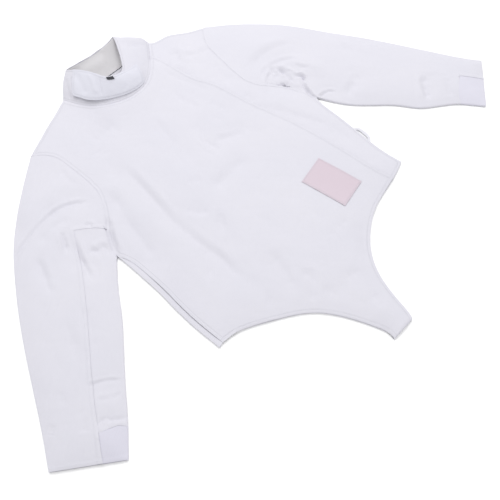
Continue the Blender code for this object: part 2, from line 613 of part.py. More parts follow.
def throat_tab(collar_grid, cloth, black):
    """The band over the front of the collar, and the small label on its upper edge."""
    normals = outward(collar_grid)
    along = np.linspace(0, 1, TAB_STEPS[0] + 1)
    share = np.linspace(0, 1, TAB_STEPS[1] + 1)[:, None]
    place = curve(TAB_LOW)(along) + share[..., None] * (curve(TAB_HIGH)(along) - curve(TAB_LOW)(along))
    columns, rows = place[..., 0], place[..., 1]
    near, far = SLACK_COLUMNS
    slack = TAB_SLACK * (1 - share) ** 2 * soft_step(1 - abs(2 * columns - near - far) / (far - near))
    surface, normal = on_grid(collar_grid, rows, columns), on_grid(normals, rows, columns)
    under = surface + normal * (TAB_GAP + slack)[..., None]
    over = under + normal * TAB_WALL
    wall("throat_tab", over, under, cloth)

    columns, rows = np.meshgrid(np.linspace(*LABEL_COLUMNS, 5), np.linspace(*LABEL_ROWS, 3))
    surface, normal = on_grid(over, rows, columns), on_grid(normal, rows, columns)
    under = surface + normal * (SEAM + 0.1)
    wall("neck_label", under + normal * LABEL_WALL, under, black)


def height_on(grid, x, y):
    """Height of a grid's own triangles at places x, y."""
    a, b = grid[:-1, :-1], grid[1:, :-1]
    c, d = grid[1:, 1:], grid[:-1, 1:]
    falling = split(grid)
    corners = np.concatenate([np.stack(t, 2)[cut] for cut, t in (
        (falling, (a, b, c)), (falling, (a, c, d)), (~falling, (a, b, d)), (~falling, (b, c, d)))])
    p, q, r = corners[:, 0], corners[:, 1], corners[:, 2]
    area = (q[:, 0] - p[:, 0]) * (r[:, 1] - p[:, 1]) - (r[:, 0] - p[:, 0]) * (q[:, 1] - p[:, 1])
    heights = []
    for px, py in zip(np.ravel(x), np.ravel(y)):
        s = ((px - p[:, 0]) * (r[:, 1] - p[:, 1]) - (r[:, 0] - p[:, 0]) * (py - p[:, 1])) / area
        t = ((q[:, 0] - p[:, 0]) * (py - p[:, 1]) - (px - p[:, 0]) * (q[:, 1] - p[:, 1])) / area
        k = np.minimum(np.minimum(s, t), 1 - s - t).argmax()
        heights.append((1 - s[k] - t[k]) * p[k, 2] + s[k] * q[k, 2] + t[k] * r[k, 2])
    return np.array(heights).reshape(np.shape(x))


def chest_patch(front, pink):
    """A plain patch on the large front, a step above the front's own faces."""
    turn = PATCH_TURN * pi / 180
    across, down = np.meshgrid(np.linspace(-0.5, 0.5, 6) * PATCH_SIZE[0],
                               np.linspace(0.5, -0.5, 8) * PATCH_SIZE[1])
    x = PATCH_CENTRE[0] + across * cos(turn) - down * sin(turn)
    y = PATCH_CENTRE[1] + across * sin(turn) + down * cos(turn)
    under = np.dstack([x, y, height_on(front, x, y) + PATCH_GAP])
    wall("chest_patch", under + (0, 0, PATCH_WALL), under, pink)


def side_loop(cloth):
    """A loop of flat tape that stands out of the left side seam."""
    edge = curve(LEFT_SIDE)(np.linspace(0, 1, 60))
    share = np.linspace(0, 1, 15)
    y = LOOP_TOP - LOOP_LENGTH * share
    side = np.interp(-y, -edge[:, 1], edge[:, 0])
    out = np.clip(4 * share * (1 - share), 0, 1) ** 0.35
    outer = np.stack([side + SEAM + (LOOP_OUT - SEAM) * out, y], -1)
    inner_y = LOOP_TOP - LOOP_TAPE * 0.8 - (LOOP_LENGTH - 1.6 * LOOP_TAPE) * share
    inner = np.stack([side + SEAM + (LOOP_OUT - LOOP_TAPE) * out, inner_y], -1)
    plan = np.stack([inner, outer], 1)
    top = raised(plan, WALL + LOOP_WALL / 2)
    wall("side_loop", top, top - (0, 0, LOOP_WALL), cloth)


def main():
    clear_scene()
    cloth = finish_of("white_cloth", WHITE, 0.8)
    knit = finish_of("knitted_cuff", KNIT, 0.9)
    back_panel(cloth)
    front = front_panels(cloth)
    for shape in (RIGHT_SLEEVE, LEFT_SLEEVE):
        sleeve(shape, cloth, knit)
    collar_grid = collar(cloth)
    throat_tab(collar_grid, cloth, finish_of("black_label", BLACK, 0.6))
    chest_patch(front, finish_of("pink_patch", PINK, 0.6))
    side_loop(cloth)


main()
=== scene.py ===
# %% [markdown]
# # A white fencing jacket, laid flat
#
# The jacket lies on its back with its front up. Its cut is already there as solids: one for each
# piece that a maker cuts and sews on. This lesson gives those solids their looks. Each piece of
# cloth becomes a fine skin on its solid's form, gets its creases, seams and stitches, and then its
# weave. It starts by loading the solids, which stay where they are.

# %% Load the solids
import json
from collections import namedtuple
from itertools import combinations
from math import cos, pi, radians, sin

import bmesh
import bpy
import numpy as np
from mathutils import Matrix, Vector
from mathutils.bvhtree import BVHTree
from mathutils.kdtree import KDTree

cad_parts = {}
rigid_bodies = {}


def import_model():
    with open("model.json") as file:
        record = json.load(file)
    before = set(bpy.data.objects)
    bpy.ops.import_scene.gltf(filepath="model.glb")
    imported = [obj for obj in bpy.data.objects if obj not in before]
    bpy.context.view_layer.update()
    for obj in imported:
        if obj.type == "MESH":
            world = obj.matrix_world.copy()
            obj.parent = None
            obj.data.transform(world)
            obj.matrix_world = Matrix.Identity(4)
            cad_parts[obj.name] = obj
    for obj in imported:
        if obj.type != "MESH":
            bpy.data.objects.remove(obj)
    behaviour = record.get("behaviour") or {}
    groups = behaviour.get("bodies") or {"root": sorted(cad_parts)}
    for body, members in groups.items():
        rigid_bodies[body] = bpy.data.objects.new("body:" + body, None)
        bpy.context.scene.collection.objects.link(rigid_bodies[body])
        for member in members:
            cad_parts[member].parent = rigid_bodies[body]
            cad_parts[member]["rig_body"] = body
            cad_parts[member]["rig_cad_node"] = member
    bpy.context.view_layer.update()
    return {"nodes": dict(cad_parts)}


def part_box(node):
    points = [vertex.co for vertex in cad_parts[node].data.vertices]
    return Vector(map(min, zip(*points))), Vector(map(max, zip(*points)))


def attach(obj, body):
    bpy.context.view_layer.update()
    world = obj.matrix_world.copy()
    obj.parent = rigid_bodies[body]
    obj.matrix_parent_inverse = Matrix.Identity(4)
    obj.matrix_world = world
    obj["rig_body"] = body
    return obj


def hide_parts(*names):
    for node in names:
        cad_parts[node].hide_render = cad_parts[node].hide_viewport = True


MM = 0.001
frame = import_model()
scene = bpy.context.scene
print("solids:", ", ".join(sorted(frame["nodes"])))

# %% [markdown]
# ## Camera
#
# The photograph was taken from above the strap's side, looking down at about 65 degrees, with the
# neck at the upper left. A camera is a place, three directions and a lens. Here the directions
# come from two angles: the heading over the table and the tilt down.

# %% Set up the camera
HEADING = radians(45.53)      # from +Y towards +X
TILT = radians(64.87)         # down from level
CAMERA_PLACE = (-0.3979, -0.7471, 0.9518)
LENS = 42.81                  # mm, on a 36 mm sensor

across = Vector((cos(HEADING), -sin(HEADING), 0))
ahead = Vector((sin(HEADING) * cos(TILT), cos(HEADING) * cos(TILT), -sin(TILT)))
placing = Matrix((across, across.cross(ahead), -ahead)).transposed().to_4x4()
placing.translation = CAMERA_PLACE
eye = bpy.data.cameras.new("camera")
eye.lens, eye.sensor_width, eye.clip_start = LENS, 36, 0.01
camera = bpy.data.objects.new("camera", eye)
camera.matrix_world = placing
scene.collection.objects.link(camera)
scene.camera = camera
print("camera at", CAMERA_PLACE)

# %% [markdown]
# ## Table and light
#
# White cloth on a white ground only shows its form through soft shade. A bright even sky would
# flatten it and a single lamp would be harsh, so there is some of both: a pale world for the
# fill, and one wide panel overhead, a little towards the left sleeve, which leaves the collar's
# other side in soft shade as in the photograph.

# %% Set up the table and the light
WORLD_STRENGTH = 0.84
PANEL_PLACE = (0.6, 0.5, 2.3)
PANEL_SIZE = 1.7
PANEL_POWER = 34

bpy.ops.object.select_all(action="DESELECT")
bpy.ops.mesh.primitive_plane_add(size=8, location=(0, -0.3, -0.0004))
table = bpy.context.object
table.name = "table"
bpy.ops.object.transform_apply(location=True, rotation=True, scale=True)
paint = bpy.data.materials.new("table_white")
paint.use_nodes = True
paint.node_tree.nodes["Principled BSDF"].inputs["Base Color"].default_value = (0.97, 0.97, 0.97, 1)
paint.node_tree.nodes["Principled BSDF"].inputs["Roughness"].default_value = 0.9
table.data.materials.append(paint)

world = bpy.data.worlds.new("studio")
world.use_nodes = True
world.node_tree.nodes["Background"].inputs["Color"].default_value = (1, 1, 1, 1)
world.node_tree.nodes["Background"].inputs["Strength"].default_value = WORLD_STRENGTH
scene.world = world
panel = bpy.data.lights.new("panel", "AREA")
panel.energy, panel.size = PANEL_POWER, PANEL_SIZE
lamp = bpy.data.objects.new("panel", panel)
lamp.location = PANEL_PLACE
lamp.rotation_euler = (Vector((0, -0.3, 0)) - lamp.location).to_track_quat("-Z", "Y").to_euler()
scene.collection.objects.link(lamp)
scene.view_settings.view_transform = "Standard"
print("panel", PANEL_SIZE, "m wide at", PANEL_PLACE)

# %% [markdown]
# ## Fine skins on the solids
#
# Cloth could be modelled afresh, but then it might stand off its solid. Instead each skin starts
# as a copy of the solid's outer side. The copy's loose triangles are merged, and the narrow sides
# that look at a neighbour across a seam are deleted, because sewn cloth has none and they would
# show as dark lines. Then the sharp edges are marked, and everything that isn't joined to the
# topmost face without crossing one goes too. Subdivision makes the faces fine enough for creases.

# %% Helpers: copy the outer side of a solid
SHARP = radians(60)
SEAM_GAP = 0.6 * MM     # the solids stand 0.3 mm apart at their seams
ARMPIT_GAP = 3.0 * MM   # but their upright sides in the armpits round away from each other
UPRIGHT, SLOPING = 0.45, 0.8    # how far the normal of such a side points up or down, at most
TOUCH = 0.02 * MM       # points closer than this are one


def mode(name):
    """Switches between OBJECT and EDIT mode."""
    bpy.ops.object.mode_set(mode=name)


def only(piece):
    """Selects one object, alone."""
    bpy.ops.object.select_all(action="DESELECT")
    bpy.context.view_layer.objects.active = piece
    piece.select_set(True)


def copy_of(node, name):
    """A solid's copy with its triangles merged and joined in pairs."""
    piece = frame["nodes"][node].copy()
    piece.data = piece.data.copy()
    piece.name = piece.data.name = name
    piece.parent = None
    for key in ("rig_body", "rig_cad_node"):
        del piece[key]
    scene.collection.objects.link(piece)
    piece.data.materials.clear()
    only(piece)
    bpy.ops.mesh.customdata_custom_splitnormals_clear()
    mode("EDIT")
    bpy.ops.mesh.select_all(action="SELECT")
    bpy.ops.mesh.remove_doubles(threshold=TOUCH)
    bpy.ops.mesh.tris_convert_to_quads(face_threshold=SHARP, shape_threshold=pi)
    mode("OBJECT")
    return piece


def surface(piece):
    """A search tree of a piece's faces."""
    mesh = bmesh.new()
    mesh.from_mesh(piece.data)
    tree = BVHTree.FromBMesh(mesh)
    mesh.free()
    return tree


def drop_seam_sides(piece, node):
    """Deletes the narrow sides that look at another solid across a seam."""
    others = [tree for name, tree in trees.items() if name != node]
    rounded = node.startswith(("sleeve", "front"))
    for face in piece.data.polygons:
        start, slope = face.center + face.normal * TOUCH, abs(face.normal.z)
        reach = ARMPIT_GAP if rounded and slope < UPRIGHT else SEAM_GAP
        face.select = slope < SLOPING and any(
            tree.ray_cast(start, face.normal, reach)[0] for tree in others)
    mode("EDIT")
    bpy.ops.mesh.delete(type="FACE")
    mode("OBJECT")


def outer_side(node, name):
    """The outer side of a solid: all that joins its topmost face without a sharp edge."""
    piece = copy_of(node, name)
    mode("EDIT")
    bpy.ops.mesh.select_all(action="DESELECT")
    bpy.ops.mesh.select_mode(type="FACE")
    mode("OBJECT")
    drop_seam_sides(piece, node)
    mode("EDIT")
    bpy.ops.mesh.select_all(action="DESELECT")
    bpy.ops.mesh.select_mode(type="EDGE")
    bpy.ops.mesh.edges_select_sharp(sharpness=SHARP)
    bpy.ops.mesh.mark_sharp()
    bpy.ops.mesh.select_mode(type="FACE")
    bpy.ops.mesh.select_all(action="DESELECT")
    mode("OBJECT")
    upward = [face for face in piece.data.polygons if face.normal.z > 0.7]
    max(upward, key=lambda face: face.center.z).select = True
    mode("EDIT")
    bpy.ops.mesh.select_linked(delimit={"SHARP"})
    bpy.ops.mesh.select_all(action="INVERT")
    bpy.ops.mesh.delete(type="FACE")
    bpy.ops.mesh.select_all(action="SELECT")
    bpy.ops.mesh.mark_sharp(clear=True)
    mode("OBJECT")
    return piece


def use_modifier(piece, kind, **settings):
    """Adds a modifier and applies it."""
    only(piece)
    modifier = piece.modifiers.new(kind.lower(), kind)
    for key, value in settings.items():
        setattr(modifier, key, value)
    bpy.ops.object.modifier_apply(modifier=modifier.name)


def refine(piece, levels):
    """Subdivides a skin smoothly, with its corners kept."""
    use_modifier(piece, "SUBSURF", levels=levels, render_levels=levels,
                 boundary_smooth="PRESERVE_CORNERS")
    piece.data.shade_smooth()


# %% Make the skins
# node, skin's name, levels of subdivision
SKINS = [
    ("front_main", "large_front", 3),
    ("front_left", "left_front", 3),
    ("sleeve_right_upper", "right_sleeve_upper", 3),
    ("sleeve_right_under", "right_sleeve_under", 3),
    ("cuff_right", "right_cuff", 3),
    ("sleeve_left_upper", "left_sleeve_upper", 3),
    ("sleeve_left_under", "left_sleeve_under", 3),
    ("cuff_left", "left_cuff", 3),
    ("collar", "collar_shell", 3),
    ("throat_tab", "throat_band", 3),
    ("chest_patch", "patch", 4),
    ("neck_label", "label", 3),
    ("side_loop", "loop", 3),
]
trees = {node: surface(solid) for node, solid in frame["nodes"].items()}
skins = {}
for node, name, levels in SKINS:
    skin = outer_side(node, name)
    faces = len(skin.data.polygons)
    refine(skin, levels)
    skins[name] = skin
    print(f"{name}: {faces} faces, now {len(skin.data.polygons)}")

# %% [markdown]
# ## Creases
#
# Heavy cotton that has been folded away keeps soft troughs with a low ridge thrown up beside
# them. A cloth simulation would put them where it likes, but these have known places, so each is
# drawn: how deep, how wide, how much ridge on which side, and the path it takes. A crease
# wavers in depth along its path and fades at both ends. Minus depths are raised folds. The depths
# were drawn and came out a little shallow, so one factor deepens them all.

# %% The creases, in mm
# depth: of the trough. width: half of it. ridge: share of the depth thrown up on the left of the
# path, or with a minus on the right
Crease = namedtuple("Crease", "depth width ridge path")
DEEPEN = 1.25
CREASES = [
    # large front: the two long troughs from the armhole to the leg
    Crease(2.4, 8, 0.4, [
        (-131, -135), (-128, -169), (-130, -202), (-134, -249), (-138, -298), (-137, -342),
        (-134, -375), (-129, -405), (-130, -445), (-126, -510)]),
    Crease(1.8, 10, -0.4, [(-182, -161), (-184, -198), (-196, -239), (-205, -304), (-213, -329)]),
    Crease(1.2, 6, 0.3, [(-135, -378), (-150, -406), (-178, -433)]),
    # chest
    Crease(1.4, 5.9, -0.6, [(40, -178), (24, -209), (23, -227), (26, -240), (19, -259)]),
    Crease(1.1, 6.5, 0.5, [(33, -225), (61, -240), (92, -255)]),
    Crease(1.2, 10.4, 0.4, [(-41, -304), (-13, -302), (18, -300), (55, -299)]),
    Crease(0.8, 7.8, 0.4, [(-8, -101), (-18, -139), (-25, -169), (-58, -203)]),
    Crease(0.6, 7.8, 0.3, [(-68, -255), (-41, -277)]),
    Crease(0.8, 6.5, -0.4, [(-109, -296), (-94, -320), (-77, -331)]),
    Crease(1.0, 6.5, 0.5, [(-64, -338), (-75, -357), (-95, -385)]),
    Crease(0.8, 9.1, 0.3, [(154, -222), (161, -243), (187, -283)]),
    # under the collar
    Crease(1.0, 9.1, 0.4, [(-80, -59), (-110, -62), (-128, -66)]),
    Crease(0.8, 11.7, 0.0, [(-135, -84), (-136, -106)]),
    Crease(0.7, 6.5, 0.4, [(61, -83), (57, -111), (64, -133), (59, -156)]),
    Crease(0.6, 6.5, 0.4, [(90, -152), (101, -191)]),
    Crease(0.6, 6.5, -0.4, [(69, -173), (78, -209)]),
    Crease(0.7, 6.5, 0.4, [(73, -7), (81, -46), (89, -76), (102, -110), (105, -139)]),
    # belly and leg curves
    Crease(0.9, 7.8, 0.4, [(-55, -465), (-67, -495), (-76, -522), (-78, -540)]),
    Crease(1.1, 9.1, 0.5, [(-62, -525), (-45, -548), (-65, -570), (-79, -578)]),
    Crease(0.7, 10.4, 0.3, [(-133, -518), (-104, -553)]),
    Crease(0.6, 10.4, 0.3, [(30, -520), (90, -518)]),
    Crease(1.0, 9.1, 0.4, [(94, -534), (68, -573), (46, -606)]),
    Crease(0.7, 9.1, 0.3, [(-12, -588), (29, -602)]),
    Crease(0.7, 10.4, 0.3, [(-51, -573), (-37, -606)]),
    Crease(0.6, 9.1, 0.3, [(6, -642), (-4, -672)]),
    # left front and shoulder
    Crease(1.2, 7.8, 0.5, [(129, -27), (161, -47), (195, -54)]),
    Crease(1.0, 9.1, 0.4, [(136, -7), (115, -42)]),
    Crease(1.0, 13.0, 0.3, [(162, -84), (157, -119), (155, -158)]),
    Crease(0.5, 6.5, 0.4, [(100, -1), (106, -41), (111, -83)]),
    Crease(1.4, 10.4, -0.4, [(178, -255), (190, -296), (207, -334), (221, -374), (219, -422)]),
    Crease(0.7, 9.1, 0.3, [(154, -189), (153, -217)]),
    Crease(0.5, 7.8, 0.3, [(138, 20), (150, 2), (158, -20)]),
    # right sleeve: the arc round the cap, and folds that fan out from the armpit
    Crease(1.9, 3.8, 0.5, [
        (-400, -175), (-380, -158), (-356, -146), (-330, -139), (-303, -135), (-275, -133),
        (-249, -140), (-228, -154), (-213, -170)]),
    Crease(1.3, 8, 0.3, [(-340, -168), (-312, -160), (-282, -160), (-262, -166)]),
    Crease(2.8, 4.0, -0.5, [(-292, -175), (-301, -195), (-311, -217)]),
    Crease(3.2, 5.5, 0.5, [(-280, -192), (-295, -223), (-305, -253), (-314, -288)]),
    Crease(2.0, 7, 0.4, [(-352, -180), (-361, -207), (-371, -238), (-378, -262)]),
    Crease(2.6, 6, 0.4, [(-282, -232), (-272, -248), (-258, -250), (-260, -272)]),
    Crease(1.6, 4, 0.4, [(-251, -193), (-247, -208)]),
    Crease(0.9, 6, 0.3, [(-212, -66), (-216, -95), (-211, -122)]),
    Crease(5.0, 6.0, 0.3, [(-215, -205), (-230, -233), (-243, -257), (-256, -286)]),
    Crease(1.2, 9, 0.3, [(-385, -300), (-402, -344), (-421, -380)]),
    Crease(1.0, 8, -0.3, [(-345, -305), (-368, -350), (-388, -395)]),
    # right sleeve near its end
    Crease(1.3, 3, 0.5, [(-436, -420), (-408, -434), (-386, -452)]),
    Crease(0.8, 4, 0.5, [(-438, -448), (-419, -461), (-400, -468)]),
    Crease(1.5, 3.4, -0.4, [(-462, -478), (-445, -480), (-437, -490), (-412, -506)]),
    Crease(1.0, 7, 0.3, [(-458, -438), (-472, -463), (-482, -478)]),
    Crease(0.8, 6, 0.3, [(-466, -399), (-478, -419)]),
    Crease(0.8, 7, 0.3, [(-505, -428), (-522, -441)]),
    # left sleeve: the hollow at the armpit, its lip, and the arcs round it
    Crease(2.8, 4.2, 0.2, [(246, -178), (238, -188), (233, -199), (231, -211)]),
    Crease(3.0, 3.8, 0.2, [(243, -183), (248, -197), (249, -212), (247, -226), (244, -240)]),
    Crease(-1.6, 3.4, 0.0, [(246, -188), (243, -203), (241, -220)]),
    Crease(-2.4, 4.6, 0.0, [(256, -186), (260, -203), (263, -219), (263, -233)]),
    Crease(3.8, 2.6, 0.5, [(256, -228), (264, -235), (269, -240), (265, -248), (257, -256)]),
    Crease(3.4, 3.2, 0.4, [(260, -244), (255, -257), (251, -270), (249, -286), (248, -304)]),
    Crease(1.6, 9.0, 0.1, [(218, -206), (226, -224), (234, -240), (240, -256), (245, -275)]),
    Crease(1.2, 4.0, 0.4, [(220, -193), (230, -187), (242, -179)]),
    Crease(1.6, 4.5, 0.5, [
        (204, -192), (219, -180), (236, -176), (256, -180), (277, -191), (300, -214)]),
    Crease(1.4, 9, 0.4, [(206, -156), (232, -146), (261, -146), (294, -157), (330, -184)]),
    Crease(1.4, 4, 0.5, [(203, -210), (216, -196), (236, -190)]),
    Crease(1.2, 4, 0.5, [(274, -206), (282, -226), (298, -248)]),
    Crease(1.9, 2.8, 0.5, [(253, -298), (266, -300), (279, -303), (292, -318)]),
    Crease(1.8, 9, 0.4, [(291, -336), (329, -328), (351, -318)]),
    Crease(1.0, 9, 0.3, [(372, -232), (398, -280), (408, -318)]),
    Crease(3.2, 7, -0.5, [(443, -414), (421, -436), (402, -462)]),
    Crease(1.2, 7, 0.3, [(470, -452), (452, -470), (436, -492)]),
]
print(len(CREASES), "creases drawn")

# %% [markdown]
# The heights are worked out for all points of a skin at once. Each point looks for the nearest
# place on the crease's path and which side of it it is on; the distance gives the height. On top
# comes a faint crumple that the whole cloth has, made of smooth random lumps of two sizes. All
# skins share the same functions of x and y, so a crease runs across a seam without a step.


# %% Helpers: heights of creases and crumple
def smooth_path(points, steps=8):
    """A smooth line of many points through a few."""
    p = np.array(points, float)
    p = np.vstack([2 * p[0] - p[1], p, 2 * p[-1] - p[-2]])
    t = np.linspace(0, 1, steps, endpoint=False)[:, None]
    parts = [b + (c - a) * t / 2 + (a - 2.5 * b + 2 * c - d / 2) * t ** 2
             + (1.5 * (b - c) + (d - a) / 2) * t ** 3 for a, b, c, d in zip(p, p[1:], p[2:], p[3:])]
    return np.vstack([*parts, p[-2:-1]])


def line_distance(points, line):
    """Distance to a line, the share along it of the nearest place, and the way there."""
    start, run = line[:-1], np.diff(line, axis=0)
    offset = points[:, None] - start[None]
    share = np.clip((offset * run).sum(-1) / (run ** 2).sum(-1), 0, 1)
    apart = offset - share[..., None] * run
    gap = np.linalg.norm(apart, axis=-1)
    row, near = np.arange(len(points)), gap.argmin(1)
    return gap[row, near], (near + share[row, near]) / len(run), apart[row, near], run[near]


def ease(x):
    x = np.clip(x, 0, 1)
    return x * x * (3 - 2 * x)


def crease_heights(xy):
    """What all creases together add at points x, y in mm."""
    total = np.zeros(len(xy))
    for number, crease in enumerate(CREASES):
        line = smooth_path(crease.path)
        reach = 4 * crease.width
        close = ((xy > line.min(0) - reach) & (xy < line.max(0) + reach)).all(1)
        if not close.any():
            continue
        gap, share, apart, run = line_distance(xy[close], line)
        side = run[:, 0] * apart[:, 1] - run[:, 1] * apart[:, 0]
        d = np.where(side < 0, -1, 1) * gap / crease.width
        waver = 1 + 0.22 * np.sin(share * 9 + number) + 0.12 * np.sin(share * 23 + 2 * number)
        trough = -np.exp(-np.abs(d) ** 1.6)
        lip = abs(crease.ridge) * np.exp(-(d - 1.7 * np.sign(crease.ridge)) ** 2 / 0.8)
        ends = ease(share / 0.25) * ease((1 - share) / 0.25)
        total[close] += DEEPEN * crease.depth * waver * (trough + lip) * ends
    return total


def lumps(xy, size, seed):
    """Smooth random heights from -1 to 1, with lumps of about that size."""
    table_of_heights = np.random.default_rng(seed).uniform(-1, 1, (97, 97))
    cell = np.floor(xy / size).astype(int)
    a, b = ease(xy / size - cell).T
    i, j = cell.T % 97
    i1, j1 = (i + 1) % 97, (j + 1) % 97
    h = table_of_heights
    return ((1 - a) * (1 - b) * h[i, j] + a * (1 - b) * h[i1, j]
            + (1 - a) * b * h[i, j1] + a * b * h[i1, j1])


def streaks(xy, length, width, degrees, seed):
    """Smooth random heights drawn out along a direction."""
    c, s = cos(radians(degrees)), sin(radians(degrees))
    return lumps(xy @ np.array([[c, -s], [s, c]]) / (length, width), 1, seed)


def crumple(xy):
    """The faint unevenness of the whole cloth: long soft folds down the body, and small ones."""
    long = (0.42 * streaks(xy, 120, 30, -76, 1) + 0.26 * streaks(xy, 80, 20, -52, 2)
            + 0.24 * streaks(xy, 70, 17, -100, 3))
    small = (0.2 * (0.5 - np.abs(streaks(xy, 34, 11, 28, 4))) + 0.1 * streaks(xy, 20, 7, -40, 5)
             + 0.05 * lumps(xy, 5, 6))
    return long + small


# %% [markdown]
# ## Edges
#
# Where two pieces are sewn, the cloth rolls down into the seam, and along a hem it rolls round.
# So every skin needs the distance of each point from its open edge. The edge is also kept as
# loops of points, because rows of stitches run along it.


# %% Helpers: read and write a skin, and find its edges
def points_of(piece):
    co = np.empty(len(piece.data.vertices) * 3)
    piece.data.vertices.foreach_get("co", co)
    return co.reshape(-1, 3) / MM


def normals_of(piece):
    normal = np.empty(len(piece.data.vertices) * 3)
    piece.data.vertices.foreach_get("normal", normal)
    return normal.reshape(-1, 3)


def move_points(piece, co):
    piece.data.vertices.foreach_set("co", (co * MM).ravel())
    piece.data.update()


def edge_loops(piece):
    """The open edges of a skin, as closed loops of point numbers."""
    mesh = bmesh.new()
    mesh.from_mesh(piece.data)
    after = {}
    for edge in mesh.edges:
        if edge.is_boundary:
            a, b = (v.index for v in edge.verts)
            after.setdefault(a, []).append(b)
            after.setdefault(b, []).append(a)
    mesh.free()
    loops = []
    while after:
        loop = [next(iter(after))]
        while True:
            ways = [v for v in after.get(loop[-1], []) if v not in loop[-2:-1]]
            here = loop[-1]
            following = next((v for v in ways if v in after), None)
            after.pop(here, None)
            if following is None or following == loop[0]:
                break
            loop.append(following)
        loops.append(loop)
    return [loop for loop in loops if len(loop) > 3]


def tree_of(points):
    tree = KDTree(len(points))
    for number, point in enumerate(points):
        tree.insert(point, number)
    tree.balance()
    return tree


def nearest(points, to):
    """For each point the nearest of others: its place, its number and its distance."""
    found = [to.find(point) for point in points]
    return tuple(np.array(part) for part in zip(*((tuple(p), n, d) for p, n, d in found)))


def edge_samples(co, loops):
    """Points close together along a skin's edges."""
    parts = []
    for loop in loops:
        start, end = co[loop], co[loop[1:] + loop[:1]]
        parts += [start + (end - start) * share for share in (0, 0.25, 0.5, 0.75)]
    return np.vstack(parts)


def facing_up(piece):
    """1 where a skin faces up, falling to 0 where it is upright or faces down."""
    return ease((normals_of(piece)[:, 2] - 0.1) / 0.5)


def keep_distance(piece, name, values):
    """Stores a number on each point, for the material to read."""
    attribute = piece.data.attributes.new(name, "FLOAT", "POINT")
    attribute.data.foreach_set("value", values.astype(np.float32))


# %% Find the edges
FAR = 40.0          # mm, the distance given to points that no edge is near

loops_of, free_edges, seam_distance = {}, {}, {}
for name, skin in skins.items():
    loops_of[name] = edge_loops(skin)
    free_edges[name] = {i for loop in loops_of[name] for i in loop}
    seam_distance[name] = np.full(len(skin.data.vertices), FAR)
print("edge loops:", {name: len(loops) for name, loops in loops_of.items()})

# %% [markdown]
# ## Seams
#
# Where two pieces are sewn, both edges meet on one line and the cloth dips into it. The seam
# allowance is pressed to one side, and there the cloth lies a little higher, for as far as the
# allowance is wide. So each pair of edges is first drawn together, and then the cloth beside it
# is shaped by its distance from the seam. In the left armpit three pieces meet at one corner,
# which would leave a small hole between their seams, so their corners are drawn together first.

# %% Sew the skins together
# the skin with the allowance under it, the other one, depth of the groove and the rise, mm
SEAMS = [
    ("large_front", "right_sleeve_upper", 0.25, 0.45),
    ("large_front", "right_sleeve_under", 0.15, 0.3),
    ("left_front", "left_sleeve_upper", 0.12, 0.25),
    ("left_front", "left_sleeve_under", 0.1, 0.1),
    ("right_sleeve_upper", "right_sleeve_under", 0.2, 0.7),
    ("left_sleeve_upper", "left_sleeve_under", 0.08, 0.0),
    ("right_sleeve_under", "right_cuff", 0.3, 0.5),
    ("right_sleeve_upper", "right_cuff", 0.2, 0.8),
    ("left_sleeve_under", "left_cuff", 0.2, 0.3),
    ("left_sleeve_upper", "left_cuff", 0.2, 0.8),
    ("large_front", "collar_shell", 0.2, 0.3),
    ("left_front", "collar_shell", 0.2, 0.3),
]
SEWN_GAP = 6.0      # edges closer than this are sewn
PULL_REACH = 9.0    # how far from the seam the cloth follows
ALLOWANCE = 6.0     # width of the seam allowance
GROOVE = 2.2        # half the width of the groove
IN_ARMPIT = ("left_front", "left_sleeve_upper", "left_sleeve_under")
ARMPIT = np.array((230.0, -231.0, 6.5))


def draw_together(high, low):
    """Draws the edges of two skins to one line, and gives each skin's sewn points."""
    before = {name: points_of(skins[name]) for name in (high, low)}
    found = {}
    for name, other in ((high, low), (low, high)):
        co = before[name]
        edge = np.array(sorted(i for loop in loops_of[name] for i in loop))
        target, _, gap = nearest(co[edge], tree_of(edge_samples(before[other], loops_of[other])))
        sewn = found[name] = edge[gap < SEWN_GAP]
        if len(sewn):
            pull = (target[gap < SEWN_GAP] - co[sewn]) / 2
            _, number, distance = nearest(co, tree_of(co[sewn]))
            move_points(skins[name], co + pull[number] * (1 - ease(distance / PULL_REACH))[:, None])
    return found


def sew(high, low, groove, rise):
    """Sews two skins together: one line, a groove along it, and a rise over the allowance."""
    for name, sewn in draw_together(high, low).items():
        if not len(sewn):
            continue
        co = points_of(skins[name])
        distance = nearest(co, tree_of(co[sewn]))[2]
        height = -groove * (1 - ease(distance / GROOVE))
        if name == high:
            height += rise * (1 - ease((distance - ALLOWANCE + 1) / 2.5))
        co[:, 2] += height * facing_up(skins[name])
        move_points(skins[name], co)
        free_edges[name] -= set(sewn.tolist())
        seam_distance[name] = np.minimum(seam_distance[name], distance)
    print(f"{high} sewn to {low}")


for name in IN_ARMPIT:
    co = points_of(skins[name])
    edge = co[[i for loop in loops_of[name] for i in loop]]
    corner = edge[np.linalg.norm(edge - ARMPIT, axis=1).argmin()]
    follow = 1 - ease(np.linalg.norm(co - corner, axis=1) / PULL_REACH)
    move_points(skins[name], co + (ARMPIT - corner) * follow[:, None])
for seam in SEAMS:
    sew(*seam)

# %% Crease the skins and roll their edges
CLOTH = ["large_front", "left_front", "right_sleeve_upper", "right_sleeve_under", "right_cuff",
         "left_sleeve_upper", "left_sleeve_under", "left_cuff"]
LOWEST = 3.4        # no crease goes deeper than this over the table
ROLL, ROLL_WIDTH = 0.8, 2.6     # how far a free edge rolls down, and over what width
HEM, HEM_WIDTH = 0.35, 6.5      # how much higher the turned hem lies
PATCH_MIDDLE, PATCH_CALM = (122, -448), 45      # the front lies calmer this close round the patch
SIDE_X, SIDE_FROM, SIDE_TO = -205, -530, -270   # where the front meets the back's turned strip

